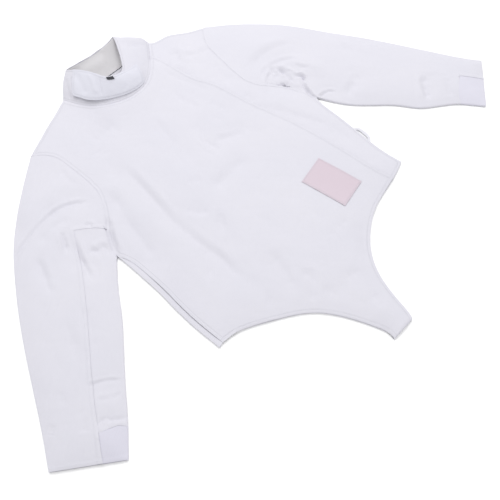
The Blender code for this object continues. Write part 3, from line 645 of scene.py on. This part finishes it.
for name in CLOTH:
    skin = skins[name]
    co, up = points_of(skin), normals_of(skin)[:, 2]
    top, under = facing_up(skin), ease((-up - 0.5) / 0.4)
    if name == "large_front":
        side = [i for i in free_edges[name] if co[i, 0] < SIDE_X and SIDE_FROM < co[i, 1] < SIDE_TO]
        free_edges[name] -= set(side)
        seam_distance[name] = np.minimum(seam_distance[name], nearest(co, tree_of(co[side]))[2])
    inside = nearest(co, tree_of(co[sorted(free_edges[name])]))[2]
    seam_distance[name] = np.minimum(seam_distance[name], inside)
    off_patch = ease((np.linalg.norm(co[:, :2] - PATCH_MIDDLE, axis=1) - PATCH_CALM) / 30)
    edge = (HEM * (1 - ease((inside - HEM_WIDTH + 1) / 2))
            - ROLL * (1 - ease(inside / ROLL_WIDTH)) ** 1.5)
    added = crease_heights(co[:, :2]) + crumple(co[:, :2]) * (0.2 + 0.8 * off_patch) + edge
    raised = np.maximum(co[:, 2] + added * top, np.minimum(co[:, 2] - ROLL, LOWEST))
    co[:, 2] = np.where(top > 0, raised, co[:, 2])
    hollows = np.maximum(0, 0.6 * lumps(co[:, :2], 34, 7) + 0.3 * lumps(co[:, :2], 15, 8))
    co[:, 2] += under * hollows
    move_points(skin, co)
    print(f"{name}: highest {co[:, 2].max():.1f} mm")

for pair in combinations(IN_ARMPIT, 2):     # its creases left the seams at different heights
    draw_together(*pair)

# %% [markdown]
# ## Collar and throat band
#
# The collar is stiffer than the rest: layers of cloth stitched together. It leans over, open at
# its mouth, with shallow dents and a flat fold at each side. The band over its front is softer
# and stands off at its lower edge. Both are pushed in and out along their own normals.

# %% Dent the collar and the band
Dent = namedtuple("Dent", "depth width path")
COLLAR_DENTS = [
    Dent(1.6, 6, [(-99, 44, 8), (-88, 64, 20), (-74, 84, 28)]),
    Dent(1.4, 5, [(-91, 30, 12), (-78, 55, 28), (-66, 74, 35)]),
    Dent(-1.0, 5, [(-95, 38, 12), (-82, 61, 26), (-70, 80, 33)]),
    Dent(1.2, 6, [(-78, 10, 16), (-66, 36, 34)]),
    Dent(1.6, 9, [(104, 40, 14), (84, 52, 26), (62, 64, 30)]),
    Dent(-1.0, 8, [(100, 58, 14), (78, 76, 22), (66, 92, 24)]),
    Dent(1.3, 8, [(52, 70, 32), (70, 66, 30), (82, 44, 26)]),
    Dent(1.8, 14, [(-40, 80, 6), (-8, 84, 8), (20, 76, 6)]),
    Dent(-1.4, 10, [(-44, 98, 14), (0, 97, 12), (30, 96, 12)]),
]
BAND_DENTS = [
    Dent(1.7, 7, [(-60, 76, 40), (-64, 54, 37), (-68, 36, 32), (-73, 18, 26)]),
    Dent(-1.2, 5, [(-44, 50, 44), (-47, 32, 41), (-54, 17, 36), (-60, 4, 30)]),
    Dent(1.1, 2.2, [(-34, 22, 46), (-42, 12, 40), (-49, 4, 34), (-55, -4, 28)]),
    Dent(0.9, 12, [(-20, 2, 46), (-14, -14, 36), (-8, -26, 26)]),
    Dent(-0.7, 8, [(10, 0, 42), (16, -10, 34), (20, -22, 26)]),
]
BINDING_WIDTH = 3.6     # of the bound edges, which stand up a little
CLEAR = 0.4             # the collar's underside clears the table by this, for its stitches


def dent(name, dents, binding, press):
    skin = skins[name]
    co, normal = points_of(skin), normals_of(skin)
    inside = nearest(co, tree_of(co[sorted(free_edges[name])]))[2]
    seam_distance[name] = np.minimum(seam_distance[name], inside)
    push = (binding * (1 - ease((inside - BINDING_WIDTH + 0.8) / 1.2))
            - binding * (1 - ease(inside / 1.2)) - press * (1 - ease(inside / 7)))
    for depth, width, path in dents:
        gap, share, *_ = line_distance(co, smooth_path(path))
        push -= depth * np.exp(-(gap / width) ** 2) * ease(share / 0.2) * ease((1 - share) / 0.2)
    place = co[:, :2] + co[:, 2:] * (0.7, -0.4)     # so the lumps change with height as well
    push += 0.6 * (0.5 * lumps(place, 24, 11) + 0.35 * lumps(place, 11, 12))
    co += normal * push[:, None]
    co[:, 2] = np.maximum(co[:, 2], CLEAR)
    move_points(skin, co)


dent("collar_shell", COLLAR_DENTS, binding=0.8, press=0)
dent("throat_band", BAND_DENTS, binding=0.25, press=0.9)
print("collar and band dented")

# %% [markdown]
# ## Patch, label and loop
#
# The patch is a plain piece of pink cloth sewn on all round. The label is a plain black tab of
# woven tape. The loop is a flat tape. The patch puckers a little along its stitches. For all
# three, the distance from the edge is kept, as it is for the larger pieces.

# %% Ease the patch, the label and the loop
for name in ("patch", "label", "loop"):
    skin = skins[name]
    co = points_of(skin)
    inside = nearest(co, tree_of(co[sorted(free_edges[name])]))[2]
    seam_distance[name] = np.minimum(seam_distance[name], inside)
    if name == "patch":
        pucker = 0.22 * lumps(co[:, :2], 6, 21) * np.exp(-((inside - 3) / 3) ** 2)
        co[:, 2] += pucker + 0.2 * lumps(co[:, :2], 17, 22) - 0.3 * (1 - ease(inside / 1.2))
        move_points(skin, co)
    print(name, "eased")
for name, skin in skins.items():
    keep_distance(skin, "seam_mm", seam_distance[name])

# %% [markdown]
# ## Rows of stitches
#
# A row of topstitching could be a painted dotted line, but thread stands up from the cloth, so it
# is modelled: one short stitch, repeated by an Array modifier and bent along a curve by a Curve
# modifier. The curve follows the skin's own edge at the distance that a presser foot keeps.


# %% Helpers: a line along a skin's edge, and stitches on it
STITCH = 3.4        # mm from one stitch to the next
THREAD = 0.75       # thread's width, mm
LENGTH = 0.8        # of a stitch, as a share of the way to the next
PROBE = 4           # mm in from the edge, to find which side of it the skin is on


def edge_line(name, start, end, inward):
    """The skin's edge from one corner to another, the short way, moved inwards over the skin."""
    skin = skins[name]
    co, normal = points_of(skin), normals_of(skin)
    ends = [np.array(corner, float) for corner in (start, end)]
    loop = min(loops_of[name], key=lambda l: sum(np.linalg.norm(co[l] - e, axis=1).min()
                                                 for e in ends))
    first, last = (int(np.linalg.norm(co[loop] - e, axis=1).argmin()) for e in ends)
    turned = loop[first:] + loop[:first]
    stop = (last - first) % len(loop)
    one, other = turned[:stop + 1], [turned[0]] + turned[:stop - 1:-1]
    run = min((one, other), key=lambda r: np.linalg.norm(np.diff(co[r], axis=0), axis=1).sum())
    line, lift = co[run], normal[run]
    along = np.gradient(line, axis=0)
    across_edge = np.cross(lift, along)
    across_edge /= np.linalg.norm(across_edge, axis=1, keepdims=True) + 1e-9
    tree = surface(skin)
    middle = len(line) // 2
    sides = [across_edge, -across_edge]
    inner = min(sides, key=lambda s: (tree.find_nearest(
        Vector((line[middle] + PROBE * s[middle]) * MM))[3]))
    moved = line + inward * inner
    for _ in range(3):
        moved[1:-1] = (moved[:-2] + 2 * moved[1:-1] + moved[2:]) / 4
    return np.array([tree.find_nearest(Vector(p * MM))[0] for p in moved]) / MM


def stitch_row(line, name):
    """Stitches along a line of points in mm."""
    bpy.ops.object.select_all(action="DESELECT")
    curve = bpy.data.curves.new("row", "CURVE")
    curve.dimensions, curve.twist_mode = "3D", "Z_UP"
    spline = curve.splines.new("POLY")
    spline.points.add(len(line) - 1)
    spline.points.foreach_set("co", np.c_[line * MM, np.ones(len(line))].ravel())
    rail = bpy.data.objects.new("row", curve)
    scene.collection.objects.link(rail)
    length = np.linalg.norm(np.diff(line, axis=0), axis=1).sum()
    bpy.ops.mesh.primitive_uv_sphere_add(segments=6, ring_count=4, radius=0.5 * MM)
    row = bpy.context.object
    row.name = name
    mode("EDIT")
    bpy.ops.mesh.select_all(action="SELECT")
    bpy.ops.transform.resize(value=(LENGTH * STITCH, THREAD, 0.8 * THREAD))
    bpy.ops.transform.translate(value=(0.5 * STITCH * MM, 0, 0.08 * MM))
    mode("OBJECT")
    use_modifier(row, "ARRAY", count=max(1, int(length / STITCH)), use_relative_offset=False,
                 use_constant_offset=True, constant_offset_displace=(STITCH * MM, 0, 0))
    use_modifier(row, "CURVE", object=rail, deform_axis="POS_X")
    bpy.data.objects.remove(rail)
    row.data.shade_smooth()
    return row


# %% Sew the rows
# skin, its edge from one corner to another (mm), distances of the rows from that edge
Row = namedtuple("Row", "skin start end inward")
ROWS = [
    Row("large_front", (-233, -1, 5), (-252, -276, 5), (6,)),
    Row("large_front", (91, 22, 12), (213, -523, 7), (2, 8)),
    Row("large_front", (-241, -523, 5), (-27, -704, 5), (6,)),
    Row("large_front", (25, -704, 5), (213, -523, 7), (6,)),
    Row("large_front", (-252, -276, 5), (-232, -521, 5), (2.5,)),
    Row("large_front", (-233, -1, 5), (-107, 62, 5), (3,)),
    Row("left_front", (227, 1, 5), (253, -292, 5), (6,)),
    Row("left_front", (227, 1, 5), (111, 50, 5), (3,)),
    Row("left_front", (253, -292, 5), (252, -511, 5), (4,)),
    Row("left_front", (213, -523, 5), (252, -511, 5), (6,)),
    Row("right_sleeve_upper", (-276, -189, 12), (-479, -540, 6), (6,)),
    Row("right_sleeve_upper", (-555, -478, 3), (-489, -527, 5), (5,)),
    Row("left_sleeve_upper", (564, -474, 3), (530, -503, 5), (5,)),
    Row("collar_shell", (-100, 44, 8), (106, 44, 9), (6,)),
    Row("throat_band", (-55, 78, 38), (60, 36, 33), (3.5,)),
    Row("throat_band", (-82, 34, 22), (76, 6, 18), (3.5,)),
]
rows_on = {}
for row in ROWS:
    for inward in row.inward:
        line = edge_line(row.skin, row.start, row.end, inward)
        stitches = stitch_row(line, f"stitches_{row.skin}_{len(rows_on.get(row.skin, []))}")
        rows_on.setdefault(row.skin, []).append(stitches)
        print(row.skin, "row of", round(np.linalg.norm(np.diff(line, axis=0), axis=1).sum()), "mm")

# %% Sew the collar's mouth and the patch
collar_points = points_of(skins["collar_shell"])
mouth = max(loops_of["collar_shell"], key=lambda loop: collar_points[loop, 2].mean())
for name, loop, inward in (("collar_shell", mouth, 4.5), ("patch", loops_of["patch"][0], 2.4)):
    skin = skins[name]
    co, tree = points_of(skin), surface(skin)
    line, lift = co[loop + loop[:1]], normals_of(skin)[loop + loop[:1]]
    if name == "patch":
        middle = line.mean(0)
        moved = middle + (line - middle) * (1 - inward / np.linalg.norm(
            line - middle, axis=1, keepdims=True))
    else:
        along = np.gradient(line, axis=0)
        inner = np.cross(lift, along)
        inner /= np.linalg.norm(inner, axis=1, keepdims=True)
        if inner[:, 2].mean() > 0:
            inner = -inner
        moved = line + inward * inner
    line = np.array([tree.find_nearest(Vector(p * MM))[0] for p in moved]) / MM
    rows_on.setdefault(name, []).append(stitch_row(line, f"stitches_{name}"))
    print(name, "sewn round")

# %% [markdown]
# ## Thickness
#
# A skin has no thickness, and at its edges the eye would see through to nothing. The collar, the
# band, the loop and the label show both sides, so Solidify gives them a full second side, and the
# collar's takes a slot of its own for the lining, whose colour is partly painted shade. The other
# pieces lie with their inner side hidden, and only their edges get a rim. Nothing may end up lower
# than the table.

# %% Give the skins their thickness
RIM = 1.5           # mm, of the pieces not named below
THICKNESS = {"collar_shell": 2.4, "throat_band": 1.6, "loop": 1.2, "label": 0.7, "patch": 0.7}
TWO_SIDED = ("collar_shell", "throat_band", "loop", "label")

for name, skin in skins.items():
    for _ in range(2):
        skin.data.materials.append(None)
    use_modifier(skin, "SOLIDIFY", thickness=THICKNESS.get(name, RIM) * MM, offset=-1, use_rim=True,
                 use_rim_only=name not in TWO_SIDED, use_even_offset=False,
                 material_offset=int(name == "collar_shell"))
    co = points_of(skin)
    co[:, 2] = np.maximum(co[:, 2], 0)
    move_points(skin, co)
    bpy.ops.object.shade_smooth_by_angle(angle=radians(50))
    print(name, "has", len(skin.data.polygons), "faces")

# %% [markdown]
# ## Back panel
#
# The back lies under everything, flat on the table, and along the right side it turns up and over
# to meet the front. Its solid's faces are few and large. Cutting it along lines across and down
# gives it faces small enough for the same rolled edges, and for shallow hollows underneath, where
# the cloth doesn't quite touch the table.

# %% Make the back panel
CUTS = 14           # mm between the cuts
ROUNDING = 0.4      # mm, of its edges
STRIP = 4           # mm over the table: only the strip turned to the front lies higher
back = copy_of("back_panel", "back_shell")
mode("EDIT")
bpy.ops.mesh.select_all(action="SELECT")
bpy.ops.mesh.dissolve_limited(angle_limit=radians(1))
low, high = (np.array(corner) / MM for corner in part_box("back_panel"))
for axis in (0, 1):
    for place in np.arange(low[axis] + CUTS, high[axis], CUTS):
        bpy.ops.mesh.select_all(action="SELECT")
        point, normal = [0, 0, 0], [0, 0, 0]
        point[axis], normal[axis] = place * MM, 1
        bpy.ops.mesh.bisect(plane_co=point, plane_no=normal)
mode("OBJECT")
use_modifier(back, "BEVEL", width=ROUNDING * MM, segments=2, limit_method="ANGLE",
             angle_limit=radians(50))
co, up = points_of(back), normals_of(back)[:, 2]
hollow = np.maximum(0, 0.5 * lumps(co[:, :2], 60, 31) + 0.35 * lumps(co[:, :2], 31, 32))
co[:, 2] += np.where(up < -0.7, hollow, 0)
strip = (co[:, 2] > STRIP) & (up > 0.3)
co[:, 2] += np.where(strip, 0.3 * lumps(co[:, :2], 18, 33), 0)
move_points(back, co)
back.data.shade_smooth()
only(back)
bpy.ops.object.shade_smooth_by_angle(angle=radians(35))
keep_distance(back, "seam_mm", np.full(len(co), FAR))
skins["back_shell"] = back
print("back panel:", len(back.data.polygons), "faces")

# %% [markdown]
# ## Weave, knit and tape
#
# Close up, the shell cloth is a dense twill: fine diagonal ribs. The gussets at the cuffs are a
# rib knit, and the patch, label and loop are plain woven. Each is a node group that puts out a
# height, so that several materials can share it at their own scale and angle. Heights go through
# a Bump node, because real threads of half a millimetre would take millions of faces.


# %% Helpers: node groups
def wire(tree, socket, value):
    """Sets a socket to a number, or links another socket to it."""
    if isinstance(value, bpy.types.NodeSocket):
        tree.links.new(value, socket)
    else:
        socket.default_value = value


def maths(tree, operation, *values):
    node = tree.nodes.new("ShaderNodeMath")
    node.operation = operation
    for socket, value in zip(node.inputs, values):
        wire(tree, socket, value)
    return node.outputs[0]


def new_group(name, inputs, outputs):
    """An empty shader group with named float inputs and outputs; Vector is one of the inputs."""
    tree = bpy.data.node_groups.new(name, "ShaderNodeTree")
    tree.interface.new_socket("Vector", in_out="INPUT", socket_type="NodeSocketVector")
    for label, value in inputs:
        socket = tree.interface.new_socket(label, in_out="INPUT", socket_type="NodeSocketFloat")
        socket.default_value = value
    for label in outputs:
        tree.interface.new_socket(label, in_out="OUTPUT", socket_type="NodeSocketFloat")
    return tree, tree.nodes.new("NodeGroupInput").outputs, tree.nodes.new("NodeGroupOutput").inputs


def noise(tree, vector, scale, detail=2.0):
    node = tree.nodes.new("ShaderNodeTexNoise")
    wire(tree, node.inputs["Vector"], vector)
    wire(tree, node.inputs["Scale"], scale)
    node.inputs["Detail"].default_value = detail
    return node.outputs["Fac"]


def parts(tree, vector):
    node = tree.nodes.new("ShaderNodeSeparateXYZ")
    tree.links.new(vector, node.inputs[0])
    return node.outputs


def ribs(tree, distance, pitch):
    """A wave from 0 to 1 with that pitch."""
    turns = maths(tree, "MULTIPLY", maths(tree, "DIVIDE", distance, pitch), 2 * pi)
    return maths(tree, "MULTIPLY_ADD", maths(tree, "SINE", turns), 0.5, 0.5)


# %% Twill
twill, given, out = new_group("twill weave", [("Pitch", 0.0011)], ["Height"])
x, y, z = parts(twill, given["Vector"])
sway = maths(twill, "MULTIPLY", noise(twill, given["Vector"], 90), 0.0006)
diagonal = maths(twill, "ADD", maths(twill, "ADD", x, y), sway)
rib = ribs(twill, diagonal, given["Pitch"])
thread = ribs(twill, maths(twill, "SUBTRACT", y, z), maths(twill, "MULTIPLY", given["Pitch"], 0.55))
broken = maths(twill, "MULTIPLY_ADD", thread, 0.35, 0.65)
wire(twill, out["Height"], maths(twill, "MULTIPLY", rib, broken))
print("twill weave group made")

# %% Rib knit
knit, given, out = new_group("rib knit", [("Pitch", 0.0024)], ["Height"])
x, y, z = parts(knit, given["Vector"])
rib = ribs(knit, x, given["Pitch"])
loop_across = maths(knit, "ABSOLUTE", maths(knit, "SUBTRACT", rib, 0.5))
loops_down = ribs(knit, maths(knit, "MULTIPLY_ADD", loop_across, 0.0009, y), 0.0012)
wire(knit, out["Height"], maths(knit, "ADD", maths(knit, "MULTIPLY", rib, 0.8),
                                maths(knit, "MULTIPLY", loops_down, 0.2)))
print("rib knit group made")

# %% Plain weave
tape, given, out = new_group("plain weave", [("Pitch", 0.0008)], ["Height"])
x, y, z = parts(tape, given["Vector"])
warp, weft = ribs(tape, x, given["Pitch"]), ribs(tape, y, given["Pitch"])
wire(tape, out["Height"], maths(tape, "MULTIPLY", warp, weft))
print("plain weave group made")

# %% [markdown]
# Two more groups serve all the cloth. One draws the groove that a row of stitches pulls into the
# cloth and the small puckers beside a seam, from the distance to the edge that each skin carries;
# the materials use the groove both as a bump and as painted shade in the colour.
# The other gives a large, faint change of tone, as washed cotton has.

# %% Seam marks and tone
seams, given, out = new_group("seam marks", [("Distance", FAR), ("Row", 6.0)],
                              ["Groove", "Pucker"])
off_row = maths(seams, "DIVIDE", maths(seams, "SUBTRACT", given["Distance"], given["Row"]), 0.9)
groove = maths(seams, "EXPONENT", maths(seams, "MULTIPLY", maths(seams, "MULTIPLY", off_row,
                                                                 off_row), -1.0))
near_edge = maths(seams, "EXPONENT", maths(seams, "MULTIPLY", given["Distance"], -0.16))
wire(seams, out["Groove"], groove)
wire(seams, out["Pucker"], maths(seams, "MULTIPLY", near_edge,
                                 noise(seams, given["Vector"], 230, 1.0)))

tone, given, out = new_group("cloth tone", [("Size", 9.0)], ["Tone"])
wire(tone, out["Tone"], noise(tone, given["Vector"], given["Size"], 3.0))
print("seam marks and tone groups made")

# %% [markdown]
# ## Materials
#
# Each material places those groups at its own grain angle. White cotton is never one flat white:
# its colour moves slightly between a cool and a warmer white, and the ribs of the weave tint it.
# Along each row of stitches the colour is darkened, as painted shade in the groove that the row
# pulls in. A weak sheen lifts the far slopes. The collar is a little darker than the body, as
# painted shade for its side that lies in soft shade, and its lining is darker and greyer still,
# partly its own grey and partly painted shade inside the collar. The band and cuffs are a little
# darker and greyer too.


# %% Helpers: build a cloth material
def group_node(tree, group, **values):
    node = tree.nodes.new("ShaderNodeGroup")
    node.node_tree = group
    for label, value in values.items():
        wire(tree, node.inputs[label], value)
    return node.outputs


def mix(tree, amount, first, second):
    node = tree.nodes.new("ShaderNodeMix")
    node.data_type = "RGBA"
    wire(tree, node.inputs["Factor"], amount)
    wire(tree, node.inputs[6], first)
    wire(tree, node.inputs[7], second)
    return node.outputs[2]


def bump(tree, height, distance, strength, under=None):
    node = tree.nodes.new("ShaderNodeBump")
    wire(tree, node.inputs["Height"], height)
    node.inputs["Distance"].default_value = distance
    node.inputs["Strength"].default_value = strength
    if under is not None:
        tree.links.new(under, node.inputs["Normal"])
    return node.outputs["Normal"]


def cloth(name, cool, warm, weave, pitch, depth, angle=0.0, row=6.0, roughness=0.85, sheen=0.1):
    """A cloth with that weave. cool and warm: the two colours it moves between."""
    material = bpy.data.materials.new(name)
    material.use_nodes = True
    tree = material.node_tree
    shader = tree.nodes["Principled BSDF"]
    place = tree.nodes.new("ShaderNodeTexCoord").outputs["Object"]
    grain = tree.nodes.new("ShaderNodeMapping")
    grain.inputs["Rotation"].default_value = (0, 0, angle)
    tree.links.new(place, grain.inputs["Vector"])
    distance = tree.nodes.new("ShaderNodeAttribute")
    distance.attribute_name = "seam_mm"
    threads = group_node(tree, weave, Vector=grain.outputs[0], Pitch=pitch)
    marks = group_node(tree, seams, Vector=place, Distance=distance.outputs["Fac"], Row=row)
    hue = group_node(tree, tone, Vector=place)["Tone"]
    colour = mix(tree, hue, (*cool, 1), (*warm, 1))
    # painted shade: the colour darkens along the groove that a row of stitches pulls in
    shade = maths(tree, "MULTIPLY", marks["Groove"], 0.12)
    colour = mix(tree, shade, colour, tuple(c * 0.55 for c in cool) + (1,))
    colour = mix(tree, maths(tree, "MULTIPLY", threads["Height"], 0.06), colour,
                 tuple(c * 0.8 for c in cool) + (1,))
    wire(tree, shader.inputs["Base Color"], colour)
    rough = maths(tree, "MULTIPLY_ADD", threads["Height"], 0.06, roughness - 0.03)
    wire(tree, shader.inputs["Roughness"], rough)
    fine = bump(tree, threads["Height"], depth, 0.7)
    puckers = maths(tree, "SUBTRACT", maths(tree, "MULTIPLY", marks["Pucker"], 0.5),
                    maths(tree, "MULTIPLY", marks["Groove"], 0.45))
    wire(tree, shader.inputs["Normal"], bump(tree, puckers, 0.0008, 0.8, fine))
    shader.inputs["Sheen Weight"].default_value = sheen
    shader.inputs["Sheen Roughness"].default_value = 0.5
    shader.inputs["Specular IOR Level"].default_value = 0.25
    return material


# %% Mix the cloths
WHITE, WARM_WHITE = (0.64, 0.635, 0.70), (0.675, 0.665, 0.72)
NO_ROW = 99                     # mm, farther in than any cloth goes
SLEEVE_GRAIN = radians(30)      # the right sleeve's, from the body's
finishes = {
    "body": cloth("white_twill_body", WHITE, WARM_WHITE, twill, 0.0011, 0.00016),
    "right": cloth("white_twill_right", WHITE, WARM_WHITE, twill, 0.0011, 0.00016, SLEEVE_GRAIN,
                   row=NO_ROW),
    "left": cloth("white_twill_left", WHITE, WARM_WHITE, twill, 0.0011, 0.00016, -SLEEVE_GRAIN,
                  row=NO_ROW),
    # the collar's colour is darker than the body's, as painted shade for its side that lies in soft
    # shade
    "collar": cloth("white_twill_collar_with_painted_shade", (0.62, 0.615, 0.68), (0.655, 0.645, 0.70), twill,
                    0.0011, 0.00016, row=4.5),
    # the lining: partly its own warmer grey, partly painted shade for the inside of the collar
    "lining_with_painted_shade": cloth("collar_lining_with_painted_shade", (0.60, 0.59, 0.61), (0.64, 0.625, 0.645), twill, 0.0009,
                    0.0001, row=NO_ROW),
    "band": cloth("white_twill_band", (0.63, 0.63, 0.70), (0.665, 0.665, 0.73), twill, 0.0009,
                  0.0001, row=3.5),
    "knit_right": cloth("white_knit_right", (0.60, 0.59, 0.67), (0.63, 0.62, 0.70), knit, 0.0022,
                        0.00018, SLEEVE_GRAIN, row=NO_ROW),
    "knit_left": cloth("white_knit_left", (0.62, 0.61, 0.69), (0.65, 0.64, 0.72), knit, 0.0022,
                       0.00018, -SLEEVE_GRAIN, row=NO_ROW),
    "pink": cloth("pink_cloth", (0.58, 0.49, 0.55), (0.62, 0.54, 0.60), tape, 0.0009, 0.0001,
                  radians(-11), row=2.4, roughness=0.7),
    "black": cloth("black_tape", (0.035, 0.035, 0.045), (0.05, 0.05, 0.06), tape, 0.0008, 0.0001,
                   row=NO_ROW, roughness=0.6),
    "tape": cloth("white_tape", (0.66, 0.66, 0.72), (0.70, 0.695, 0.74), tape, 0.0009, 0.00012,
                  row=NO_ROW),
    "thread": cloth("sewing_thread", (0.68, 0.68, 0.74), (0.71, 0.71, 0.76), tape, 0.0004, 0.00004,
                    row=NO_ROW, roughness=0.6),
}
print(len(finishes), "cloths mixed")

# %% Hand them out
# skin, finish, record's slot, solid it stands for, flat size it is cut to (mm), and its area
Piece = namedtuple("Piece", "skin finish slot node flat share")
PIECES = [
    Piece("back_shell", "body", "white_cloth", "back_panel", (520, 760), 0.73),
    Piece("large_front", "body", "white_cloth", "front_main", (470, 770), 0.64),
    Piece("left_front", "body", "white_cloth", "front_left", (160, 575), 0.52),
    Piece("right_sleeve_upper", "right", "white_cloth", "sleeve_right_upper", (370, 590), 0.58),
    Piece("right_sleeve_under", "right", "white_cloth", "sleeve_right_under", (150, 400), 0.71),
    Piece("right_cuff", "knit_right", "knitted_cuff", "cuff_right", (110, 75), 0.65),
    Piece("left_sleeve_upper", "left", "white_cloth", "sleeve_left_upper", (350, 580), 0.55),
    Piece("left_sleeve_under", "left", "white_cloth", "sleeve_left_under", (190, 400), 0.77),
    Piece("left_cuff", "knit_left", "knitted_cuff", "cuff_left", (115, 85), 0.93),
    Piece("collar_shell", "collar", "white_cloth", "collar", (430, 72), 0.92),
    Piece("throat_band", "band", "white_cloth", "throat_tab", (182, 44), 0.93),
    Piece("patch", "pink", "pink_patch", "chest_patch", (62, 92), 1.0),
    Piece("label", "black", "black_label", "neck_label", (10, 11), 0.95),
    Piece("loop", "tape", "white_cloth", "side_loop", (12, 50), 0.50),
]
for piece in PIECES:
    skin = skins[piece.skin]
    if piece.skin == "collar_shell":
        skin.data.materials[0] = finishes[piece.finish]
        skin.data.materials[1] = finishes["lining_with_painted_shade"]
    else:
        skin.data.materials.clear()
        skin.data.materials.append(finishes[piece.finish])
    stitches = rows_on.get(piece.skin, [])
    for row in stitches:
        row.data.materials.append(finishes["thread"])
        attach(row, "root")
    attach(skin, "root")
    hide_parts(piece.node)
    faces = np.empty(len(skin.data.polygons))
    skin.data.polygons.foreach_get("area", faces)
    under = [] if piece.skin == "back_shell" else ["back_shell"]
